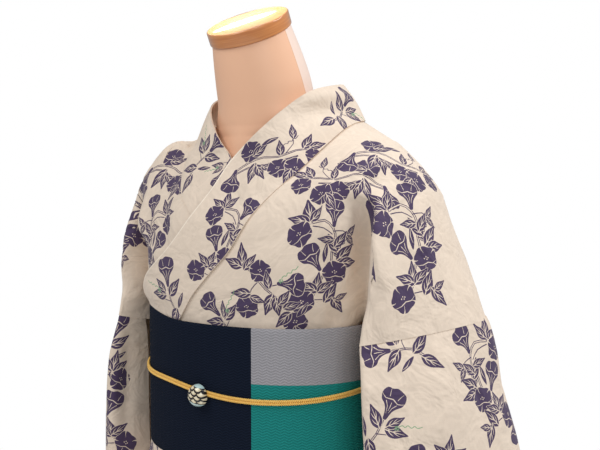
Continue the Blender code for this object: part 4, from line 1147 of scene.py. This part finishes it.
belt_materials = [
    belt_cloth("belt_navy", (0.0032, 0.0073, 0.0192), 0.35),
    belt_cloth("belt_grey", (0.330, 0.322, 0.345), 0.20),
    belt_cloth("belt_teal", (0.011, 0.215, 0.198), 0.30),
]

NAVY_END_X, GREY_LOW = 0.065, 1.0395  # where the colours meet
COLOURED_COLUMNS, NAVY_COLUMNS, GREY_ROWS, TEAL_ROWS = 80, 161, 12, 14
BELT_WALL, BELT_EDGE, BELT_TURN = 0.0038, 0.0011, 0.0026  # its wall, and how deep and how high its edges turn in
# How far its top edge is raised at the wearer's right, rising and falling over these turns in degrees
BELT_LIFT, LIFT_FROM, LIFT_RISE, LIFT_TO, LIFT_FALL = 0.0095, 190, 42, 268, 50
# The knot's panel and band in the CAD, and the cloth that shows of them: half width, low and high edge, thickness
PANEL_WALL, BAND_WALL, KNOT_POINTS = 0.009, 0.004, 41
PANEL_CLOTH_SIZES, BAND_CLOTH_SIZES = (0.078, 0.944, 1.134, 0.0085), (0.084, 0.985, 1.062, 0.0036)
print("belt materials:", [made.name for made in belt_materials])


# %% Belt and knot
def tube_faces(rows, columns):
    """Faces of a tube that is closed round its columns and round its rows."""
    row, column = np.divmod(np.arange(rows * columns), columns)
    low, after = (row + 1) % rows * columns, (column + 1) % columns
    row = row * columns
    return np.stack([row + column, row + after, low + after, low + column], axis=1)


def make_belt():
    """The belt round the waist with softly turned edges, its colours split on its own rows and columns."""
    search = np.linspace(91, 179, 2000)
    split = float(search[np.abs(round_body(search, WAIST, BELT_FACE)[:, 0] - NAVY_END_X).argmin()])
    turns = np.concatenate([np.linspace(0, split, COLOURED_COLUMNS), np.linspace(split, 360, NAVY_COLUMNS)[1:-1]])
    turns_in = np.array([0.0, 0.15, 0.5, 1.0]) * BELT_TURN
    outer_z = np.concatenate([BELT_TOP - turns_in, np.linspace(BELT_TOP - BELT_TURN, GREY_LOW, GREY_ROWS)[1:],
                              np.linspace(GREY_LOW, BELT_BOTTOM + BELT_TURN, TEAL_ROWS)[1:],
                              BELT_BOTTOM + turns_in[-2::-1]])
    depth = np.minimum(outer_z - BELT_BOTTOM, BELT_TOP - outer_z)
    drawn_in = BELT_EDGE * (1 - np.clip(depth / BELT_TURN, 0, 1)) ** 2
    levels = np.concatenate([outer_z, outer_z[::-1]])
    out = np.concatenate([BELT_FACE - drawn_in, BELT_FACE - BELT_WALL + drawn_in[::-1]])
    ring = round_body(turns[None, :], WAIST, out[:, None])
    side_lift = ease((turns - LIFT_FROM) / LIFT_RISE) * (1 - ease((turns - LIFT_TO) / LIFT_FALL))
    upper = np.clip((levels - WAIST) / (BELT_TOP - WAIST), 0, 1) ** 1.5
    ring[..., 2] = levels[:, None] + BELT_LIFT * upper[:, None] * side_lift
    rows, columns = ring.shape[:2]
    steps = np.linalg.norm(np.roll(ring[4], -1, axis=0) - ring[4], axis=1)
    end, below = np.cumsum(steps), np.roll(levels, -1)
    start = np.append(0, end[:-1])
    flats = np.stack(np.broadcast_arrays(np.stack([start, end, end, start], axis=1),
                                         np.stack([levels, levels, below, below], axis=1)[:, None]), axis=-1)
    coloured = np.where((levels + below) / 2 > GREY_LOW, 1, 2)[:, None]
    inks = np.where(np.arange(columns) >= COLOURED_COLUMNS - 1, 0, coloured)
    made = add_mesh("obi_wrap_cloth", ring.reshape(-1, 3), tube_faces(rows, columns), belt_materials, inks, flats)
    made.data.set_sharp_from_angle(angle=radians(50))
    return made


def flat_knot(half_width, low, high, out):
    """A flat piece of the knot behind, as a grid following the belt."""
    half, _, back, square = body_at(WAIST)
    x, z = np.meshgrid(np.linspace(-half_width, half_width, KNOT_POINTS), np.linspace(high, low, KNOT_POINTS))
    y = (back + out) * (1 - np.abs(x / (half + out)) ** square) ** (1 / square)
    grid = np.stack([x, y, z], axis=-1)
    return dict(grid=grid, plain=grid, u=lengths(grid, 1), v=high - z, sign=1.0, flip=False)


hand_in(make_belt(), "obi_wrap")
knot_out = BELT_FACE
for node, wall, (*sizes, thick), material in (
    ("obi_back_panel", PANEL_WALL, PANEL_CLOTH_SIZES, belt_materials[0]),
    ("obi_back_band", BAND_WALL, BAND_CLOTH_SIZES, belt_materials[2]),
):
    knot_out += GAP + wall
    hand_in(cut_sheet(node + "_cloth", flat_knot(*sizes, knot_out), [], [material], thick), node)
print("knot lies out to", round(knot_out, 4), "m from the cloth's inside")

# %% [markdown]
# ## Cord
#
# The cord over the belt is a flat silk braid. A bump could draw its strands, but seen from the side it would stay
# smooth. Geometry Nodes set two rows of slanting stitches along its line instead, close enough to touch, over a
# plain core that fills the groove between them.

# %% The cord's line
CORD_DEPTH = 0.0034
CORD_HEIGHT = 1.0355
CORD_SAG, CORD_SAG_TURN = 0.0150, 156.0
CORD_RISE, CORD_RISE_TURN, CORD_RISE_REACH = 0.0052, 196.0, 20
CORD_SQUARENESS = 2.7
KNOT_PILE = 0.0136  # the knot's depth, which the cord runs over
BRAID_MIDDLE = 0.0017  # how far the braid's middle lies out from its seat
# one turn of the cord's core: how far out and how high
CORE = ((0.0005, 0.0027), (-0.0002, 0.0), (0.0005, -0.0027), (0.0022, -0.0024), (0.0016, 0.0), (0.0022, 0.0024))


def cord_line(out):
    """Points along the cord's middle, this far out on the belt."""
    turns = np.linspace(0, 360, 360, endpoint=False)
    half, front, back, square = body_at(WAIST)
    angle = np.radians(turns)
    behind = np.cos(angle) > 0
    square = np.where(behind, CORD_SQUARENESS, square)
    depth = np.where(behind, back + KNOT_PILE, front) + out
    sag = CORD_SAG * np.maximum(np.cos(np.radians(turns - CORD_SAG_TURN)), 0) ** 1.5
    sag -= CORD_RISE * np.exp(-((turns - CORD_RISE_TURN) / CORD_RISE_REACH) ** 2)
    return np.stack([(half + out) * squared(np.sin(angle), square), depth * squared(np.cos(angle), square),
                     CORD_HEIGHT - sag], axis=1)


middle = cord_line(BELT_FACE + GAP + BRAID_MIDDLE)
cord_length = np.linalg.norm(middle - np.roll(middle, 1, axis=0), axis=1).sum()
print("length of the cord's middle round the belt:", round(float(cord_length), 3), "m")


# %% The braid's node tree
def fill_braid(nodes, given, out):
    """Slanting stitches set close along a line, in two rows with a groove between them."""
    line = nodes.add("GeometryNodeMeshToCurve", _0=given["Geometry"])
    ball = nodes.add("GeometryNodeMeshUVSphere", Segments=8, Rings=5)
    join, tangent = nodes.add("GeometryNodeJoinGeometry"), nodes.add("GeometryNodeInputTangent")
    for side in (1.0, -1.0):
        offset = nodes.add("CombineXYZ", Z=nodes.math("MULTIPLY", given["Row"], side))
        moved = nodes.add("GeometryNodeTransform", Geometry=line, Translation=offset)
        spaced = nodes.add("GeometryNodeResampleCurve", {"mode": "LENGTH"}, Curve=moved, Length=given["Spacing"])
        along = nodes.add("FunctionNodeAlignRotationToVector", {"axis": "X"}, Vector=tangent)
        upright = nodes.add("FunctionNodeAlignRotationToVector", {"axis": "Z", "pivot_axis": "X"}, Rotation=along,
                            Vector=(0, 0, 1))
        tilt = nodes.add("CombineXYZ", Y=nodes.math("MULTIPLY", given["Tilt"], side))
        turned = nodes.add("FunctionNodeRotateRotation", {"rotation_space": "LOCAL"}, Rotation=upright,
                           Rotate_By=nodes.add("FunctionNodeEulerToRotation", _0=tilt))
        placed = nodes.add("GeometryNodeInstanceOnPoints", Points=spaced, Instance=ball, Rotation=turned,
                           Scale=given["Stitch"])
        nodes.put(join.inputs[0], placed)
    smooth = nodes.add("GeometryNodeSetShadeSmooth", _0=nodes.add("GeometryNodeRealizeInstances", _0=join))
    nodes.put(out["Geometry"], nodes.add("GeometryNodeSetMaterial", Geometry=smooth, Material=given["Material"]))


def grown(name, points, tree, **values):
    """A closed line through points put through a node tree and kept as a plain mesh."""
    count = len(points)
    mesh = bpy.data.meshes.new(name + "_line")
    mesh.from_pydata(points.tolist(), [(place, (place + 1) % count) for place in range(count)], [])
    start = add_object(name + "_line", mesh)
    modifier = start.modifiers.new("nodes", "NODES")
    modifier.node_group = tree
    for socket in tree.interface.items_tree:
        if socket.in_out == "INPUT" and socket.name in values:
            modifier[socket.identifier] = values[socket.name]
    made = bpy.data.meshes.new_from_object(start.evaluated_get(bpy.context.evaluated_depsgraph_get()))
    made.name = name
    bpy.data.objects.remove(start)
    return add_object(name, made)


braid_tree = group("braid", dict(Geometry="Geometry", Spacing="Float", Row="Float", Tilt="Float", Stitch="Vector",
                                 Material="Material"), dict(Geometry="Geometry"), fill_braid, "GeometryNodeTree")
print("braid nodes:", len(braid_tree.nodes))

# %% The cord
gold = surface("cord_gold", (0.85, 0.47, 0.09), 0.5, Specular_IOR_Level=0.4)
fuzz = gold.add("TexNoise", Vector=gold.add("TexCoord").outputs["Object"], Scale=700.0)
gold.look(Base_Color=gold.blend(fuzz, (0.78, 0.42, 0.07), (1.0, 0.68, 0.20)))
cord_seat = BELT_FACE + GAP
braid = grown("obi_cord_braid", cord_line(cord_seat + BRAID_MIDDLE), braid_tree, Spacing=0.0023, Row=0.00150, Tilt=0.75,
              Stitch=(0.0025, 0.0016, 0.00095), Material=gold.material)
core_rings = np.array([cord_line(cord_seat + out) + [0, 0, high] for out, high in CORE])
core = add_mesh("obi_cord_core", core_rings.reshape(-1, 3), tube_faces(*core_rings.shape[:2]), [gold.material])
hand_in(braid, "obi_cord")
hand_in(core)
print("braid triangles", sum(len(face.vertices) - 2 for face in braid.data.polygons))

# %% [markdown]
# ## Bead
#
# A domed glass bead sits on the cord, glazed in cream and pale blue with rows of dark rims like fish scales. The
# plain pale blue at its top is also the glaze's sheen, a painted reflection. A sphere would be too round, so rings
# of points shrink towards a tip, slowly at first and then quickly. The scales come from the shared group, laid flat
# across the bead's face and leaning a little.


# %% Rings to a closed mesh
def lathe(name, rings, material, sharp):
    """A smooth closed mesh through rings of points. A ring of one point is a tip, and other ends are flat."""
    shape = bmesh.new()
    rings = [[shape.verts.new(point) for point in ring] for ring in rings]
    for low, high in zip(rings, rings[1:]):
        for place in range(max(len(low), len(high))):
            near, far = place % len(high), (place + 1) % len(high)
            corners = [low[place % len(low)], low[(place + 1) % len(low)], high[far], high[near]]
            shape.faces.new(list(dict.fromkeys(corners)))
    for end in (rings[0], rings[-1]):
        if len(end) > 1:
            shape.faces.new(end)
    bmesh.ops.recalc_face_normals(shape, faces=shape.faces)
    mesh = bpy.data.meshes.new(name)
    shape.to_mesh(mesh)
    shape.free()
    mesh.materials.append(material)
    mesh.shade_smooth()
    mesh.set_sharp_from_angle(angle=radians(sharp))
    return add_object(name, mesh)


# %% The bead
BEAD_WIDTH, BEAD_HEIGHT, BEAD_DEPTH = 0.0250, 0.0253, 0.0100
BEAD_X, BEAD_Z = 0.001, 1.0210
BEAD_ROUNDNESS = 0.62
BEAD_PATTERN_AT, BEAD_LEAN = (BEAD_X + 0.0008, BEAD_Z + 0.0004), 0.22
SCALES_MIDDLE, SCALES_HALF, SCALE_PITCH, SCALE_SHADE = 0.0012, 0.0090, 0.0084, 1.6
BEAD_LEVELS, BEAD_AROUND = 13, 48
bead_back = -(body_at(WAIST)[1] + BELT_FACE + 2 * GAP + CORD_DEPTH)
glaze = surface("bead_glaze", (0.7, 0.68, 0.55), 0.12, Coat_Weight=0.6)
split = glaze.add("SeparateXYZ", Vector=glaze.add("TexCoord").outputs["Object"])
across = glaze.math("SUBTRACT", split.outputs[0], BEAD_PATTERN_AT[0])
up = glaze.math("SUBTRACT", split.outputs[2], BEAD_PATTERN_AT[1])
leaning = glaze.math("ADD", up, glaze.math("MULTIPLY", across, BEAD_LEAN))
pattern = glaze.use(scales, Flat=glaze.add("CombineXYZ", X=across, Y=leaning), Pitch=SCALE_PITCH).outputs
shaded = glaze.math("MULTIPLY", pattern["Shade"], SCALE_SHADE)
cream = glaze.blend(shaded, (0.96, 0.90, 0.68), (0.58, 0.42, 0.20))
from_middle = glaze.math("ABSOLUTE", glaze.math("SUBTRACT", leaning, SCALES_MIDDLE))
plain = glaze.math("GREATER_THAN", from_middle, SCALES_HALF)
inked = glaze.math("MULTIPLY", pattern["Edge"], glaze.math("SUBTRACT", 1.0, plain))
# Above and below the scales the glaze is plain pale blue, which at the top also paints the glaze's sheen
glaze.look(Base_Color=glaze.blend(inked, glaze.blend(plain, cream, (0.55, 0.74, 0.74)), (0.004, 0.004, 0.006)))
bead_rings = []
for part in np.linspace(0, pi / 2, BEAD_LEVELS)[:-1]:
    size = cos(part) ** BEAD_ROUNDNESS / 2
    bead_rings.append([
        (BEAD_X + size * BEAD_WIDTH * cos(turn), bead_back - BEAD_DEPTH * sin(part),
         BEAD_Z + size * BEAD_HEIGHT * sin(turn))
        for turn in np.linspace(2 * pi, 0, BEAD_AROUND, endpoint=False)
    ])
bead_rings.append([(BEAD_X, bead_back - BEAD_DEPTH, BEAD_Z)])
hand_in(lathe("obi_bead_glazed", bead_rings, glaze.material, 50), "obi_bead")
print("bead rings", len(bead_rings))

# %% [markdown]
# ## Form
#
# The form is a padded torso covered with peach satin, with a seam down each side of the neck. The CAD solid could
# be smoothed, but its few rings would then move. The torso is made again from the same sizes with many more rings,
# and the seam is drawn in the material from Object coordinates. Behind the seam the satin is painted paler, a
# painted rim light where the backlight catches the neck.

# %% The form's sizes
# height, middle, half width, front and back in tenths of a millimetre, ten times the lean in degrees, ten times
# the squareness, and the sweep in tenths of a millimetre
FORM = (
    (7900, 0, 1200, 900, 940, 0, 22, 0), (8000, 0, 1420, 1080, 1120, 0, 22, 0),
    (8300, 0, 1500, 1170, 1190, 0, 22, 0), (8800, 0, 1460, 1160, 1160, 0, 22, 0),
    (9200, 0, 1405, 1115, 1105, 0, 22, 0), (9420, 0, 1385, 1105, 1082, 0, 22, 0),
    (10600, 0, 1385, 1105, 1082, 0, 22, 0), (10750, 0, 1370, 1090, 1067, 0, 22, 0),
    (11150, 0, 1375, 1095, 1075, 0, 22, 0), (11600, 0, 1450, 1110, 1110, 0, 22, 0),
    (12100, 0, 1430, 980, 1060, 0, 21, 0), (12450, 0, 1400, 780, 980, 0, 20, 100),
    (12750, 0, 1360, 605, 900, 0, 18, 300), (12930, 0, 1340, 570, 810, 0, 15, 340),
    (13085, 0, 1206, 560, 730, 0, 14, 340), (13230, 0, 720, 560, 670, 20, 19, 60),
    (13480, -20, 590, 580, 590, 60, 20, 0), (13760, -105, 556, 560, 565, 130, 20, 0),
    (14020, -210, 518, 522, 520, 200, 20, 0), (14273.1, -321.9, 472, 472, 472, 263, 20, 0),
)
FORM_SCALE = (1e4, 1e4, 1e4, 1e4, 1e4, 10, 10, 1e4)
NECK_FROM = 1.3230
FORM_AROUND, FORM_LEVELS = 160, 150
# The satin's seam from the neck down: its height, how far below it still leans, its slope, its y and half width
SEAM_Z, SEAM_LOW, SEAM_SLOPE, SEAM_Y, SEAM_HALF = 1.348, -0.03, 0.383, -0.0015, 0.0003
SEAM_SHARP = 900.0  # how quickly the painted rim light, paler satin on the back, starts behind it
print("form levels:", len(FORM))


# %% The form
def form_rings():
    """Rings of the torso and neck, many more than the table's own and smooth from the neck up."""
    table = np.array(FORM) / FORM_SCALE
    knots = table[:, 0]
    fine = np.unique(np.round(np.concatenate([knots, np.linspace(knots[0], knots[-1], FORM_LEVELS)]), 5))
    rows = np.stack([np.interp(fine, knots, column) for column in table.T], axis=1)
    above = table[knots >= NECK_FROM]
    rows[fine >= NECK_FROM] = curve(above[:, 0], above, fine[fine >= NECK_FROM])
    around = np.linspace(0, 2 * pi, FORM_AROUND, endpoint=False)
    rings = []
    for z, middle, half, front, back, lean, square, sweep in rows:
        sideways, forward = squared(np.cos(around), square), squared(np.sin(around), square)
        along = np.where(forward > 0, back, front) * forward + sweep * sideways**2
        tilt = radians(lean)
        rings.append(np.stack([half * sideways, middle + along * cos(tilt), z + along * sin(tilt)], axis=1))
    return rings


peach = surface("form_satin", (0.985, 0.615, 0.410), 0.42, Specular_IOR_Level=0.4)
seat = peach.add("TexCoord").outputs["Object"]
split = peach.add("SeparateXYZ", Vector=seat)
below = peach.math("MAXIMUM", peach.math("SUBTRACT", split.outputs[2], SEAM_Z), SEAM_LOW)
behind = peach.math("ADD", split.outputs[1], peach.math("MULTIPLY_ADD", below, SEAM_SLOPE, SEAM_Y))
# Behind the seam the satin is painted paler: a painted rim light where the backlight catches the neck and back
pale = peach.math("MINIMUM", peach.math("MAXIMUM", peach.math("MULTIPLY", behind, SEAM_SHARP), 0.0), 1.0)
seam = peach.math("LESS_THAN", peach.math("ABSOLUTE", behind), SEAM_HALF)
two = peach.blend(pale, (0.90, 0.535, 0.350), (0.93, 0.74, 0.64))
weave = peach.add("TexNoise", Vector=seat, Scale=900.0, Detail=2.0)
peach.look(Base_Color=peach.blend(seam, two, (0.72, 0.36, 0.19)),
           Normal=peach.add("Bump", Height=weave, Strength=0.05, Distance=0.0003))
torso = lathe("form_torso_smooth", form_rings(), peach.material, 40)
hand_in(torso, "form_torso")
print("form faces:", len(torso.data.polygons))

# %% [markdown]
# ## Cap
#
# The neck is closed by a turned wooden cap under clear varnish. A Bevel modifier could round its edges, but turning
# its outline on a lathe, as a wood turner does, gives both roundings in one step. The grain is noise stretched
# across the cap's own lean.

# %% Cap
CAP_CENTRE = Vector((0.0, -0.0391, 1.4413))
CAP_LEAN = radians(26.3)
CAP_RADIUS = 0.0492
CAP_TOP_EDGE, CAP_LOW_EDGE = 0.0010, -0.0152
CAP_EASE = 0.0016
CAP_AROUND = 96

wood = surface("cap_wood", (0.6, 0.26, 0.07), 0.28, Coat_Weight=1.0, Coat_Roughness=0.03)
seat = wood.add("Mapping", Vector=wood.add("TexCoord").outputs["Object"], Rotation=(-CAP_LEAN, 0.0, 0.0))
stretched = wood.add("Mapping", Vector=seat, Scale=(18.0, 18.0, 420.0))
grain = wood.add("TexNoise", Vector=stretched, Scale=1.0, Detail=4.0, Distortion=0.5)
wood.look(Base_Color=wood.blend(grain, (0.44, 0.108, 0.022), (0.82, 0.36, 0.11)))
bend = [(CAP_EASE * (1 - sin(turn)), CAP_EASE * (1 - cos(turn))) for turn in np.linspace(0, pi / 2, 6)]
outline = [(0.0, CAP_LOW_EDGE)]
outline += [(CAP_RADIUS - first, CAP_LOW_EDGE + second) for first, second in bend]
outline += [(CAP_RADIUS - second, CAP_TOP_EDGE - first) for first, second in bend]
outline += [(0.0, CAP_TOP_EDGE)]
cap_rings = [
    [(radius * cos(turn), radius * sin(turn), high)
     for turn in (np.linspace(0, 2 * pi, CAP_AROUND, endpoint=False) if radius else [0.0])]
    for radius, high in outline
]
cap = lathe("form_cap_varnished", cap_rings, wood.material, 50)
cap.data.transform(Matrix.Translation(CAP_CENTRE) @ Matrix.Rotation(CAP_LEAN, 4, "X"))
hand_in(cap, "form_cap")
print("cap rings", len(cap_rings))

# %% [markdown]
# ## Stand
#
# The pole and the round base are plain steel with a satin polish. They could be turned on the lathe like the cap,
# but their CAD shapes are right already. So the nodes stay, and only the finish changes: a metal with a soft shine.

# %% Stand
steel = surface("stand_steel", (0.55, 0.55, 0.57), 0.32, Metallic=0.9).material
for node in ("stand_pole", "stand_base"):
    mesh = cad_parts[node].data
    mesh.materials.clear()
    mesh.materials.append(steel)
print("stand:", steel.name)

# %% [markdown]
# It could be the whole cut, but much of that is turned in or covered. The numbers are what shows of it, in metres.


# %% [markdown]
# ## Stage, light and camera
#
# The robe stands on a pale floor in a white studio. One strong lamp would give hard shadows and hide the weave, so
# three large soft lights do the work, and the white world fills the rest. Two small lights only make the shine on
# the cap. The camera looks slightly down from the wearer's left.

# %% Floor and world
FLOOR_RADIUS, FLOOR_AROUND = 2.4, 96
rim = np.linspace(0, 2 * pi, FLOOR_AROUND, endpoint=False)
disc = np.stack([FLOOR_RADIUS * np.cos(rim), FLOOR_RADIUS * np.sin(rim), 0 * rim], axis=1)
add_mesh("floor", disc, np.arange(FLOOR_AROUND)[None], [surface("floor_white", (0.86,) * 3, 0.9).material])

world = bpy.data.worlds.new("studio")
world.use_nodes = True
bpy.context.scene.world = world
sky = Nodes(world.node_tree)
lit = world.node_tree.nodes["Background"]
sky.put(lit.inputs["Color"], (1, 1, 1, 1))
sky.put(lit.inputs["Strength"], 0.36)
seen = sky.add("Background", Color=(1, 1, 1, 1), Strength=1.0)
camera_ray = sky.add("LightPath").outputs["Is Camera Ray"]
sky.put(world.node_tree.nodes["World Output"].inputs["Surface"], sky.add("MixShader", _0=camera_ray, _1=lit, _2=seen))
print("world:", world.name)


# %% Lights
def area(name, place, target, size, power, colour=(1, 1, 1), shape="RECTANGLE"):
    """A soft light at a place, turned to its target."""
    light = bpy.data.lights.new(name, "AREA")
    light.shape = shape
    light.size, light.size_y = size
    light.energy = power
    light.color = colour
    made = add_object(name, light)
    made.location = place
    made.rotation_euler = (Vector(target) - made.location).to_track_quat("-Z", "Y").to_euler()


area("key", (1.5, 0.8, 2.9), (0, 0, 1.25), (1.1, 1.1), 36)
area("side", (2.0, -1.5, 1.9), (0, 0, 1.15), (1.3, 1.3), 14)
area("top", (-0.5, -1.5, 2.9), (0, 0, 1.15), (1.3, 1.3), 24)
# two small ones where the varnished cap mirrors them towards the camera
area("cap_shine", (-0.948, 0.8285, 2.218), CAP_CENTRE, (0.27, 0.125), 0.6, shape="ELLIPSE")
area("cap_glow", (-1.03, 0.925, 2.30), CAP_CENTRE, (0.75, 0.5), 1.7, (1.0, 0.62, 0.17), "ELLIPSE")
print("lights:", len(bpy.data.lights))

# %% Camera
CAMERA_TURN, CAMERA_DOWN = radians(38.0065), radians(3.3872)
CAMERA_REACH, CAMERA_HEIGHT = 1.1536, 1.2719
CAMERA_FOCAL_PIXELS = 959.25
AXIS_PIXEL = 268.51
PICTURE_WIDTH = 600
SENSOR_WIDTH = 36.0

camera_data = bpy.data.cameras.new("camera")
camera_data.sensor_width = SENSOR_WIDTH
camera_data.lens = CAMERA_FOCAL_PIXELS * SENSOR_WIDTH / PICTURE_WIDTH
camera = add_object("camera", camera_data)
heading = CAMERA_TURN + atan((AXIS_PIXEL - PICTURE_WIDTH / 2) / CAMERA_FOCAL_PIXELS)
ahead = Vector((-sin(heading) * cos(CAMERA_DOWN), cos(heading) * cos(CAMERA_DOWN), -sin(CAMERA_DOWN)))
camera.location = (CAMERA_REACH * sin(CAMERA_TURN), -CAMERA_REACH * cos(CAMERA_TURN), CAMERA_HEIGHT)
camera.rotation_euler = ahead.to_track_quat("-Z", "Y").to_euler()
bpy.context.scene.camera = camera
bpy.context.scene.view_settings.view_transform = "Standard"
print("camera lens", round(camera_data.lens, 2))
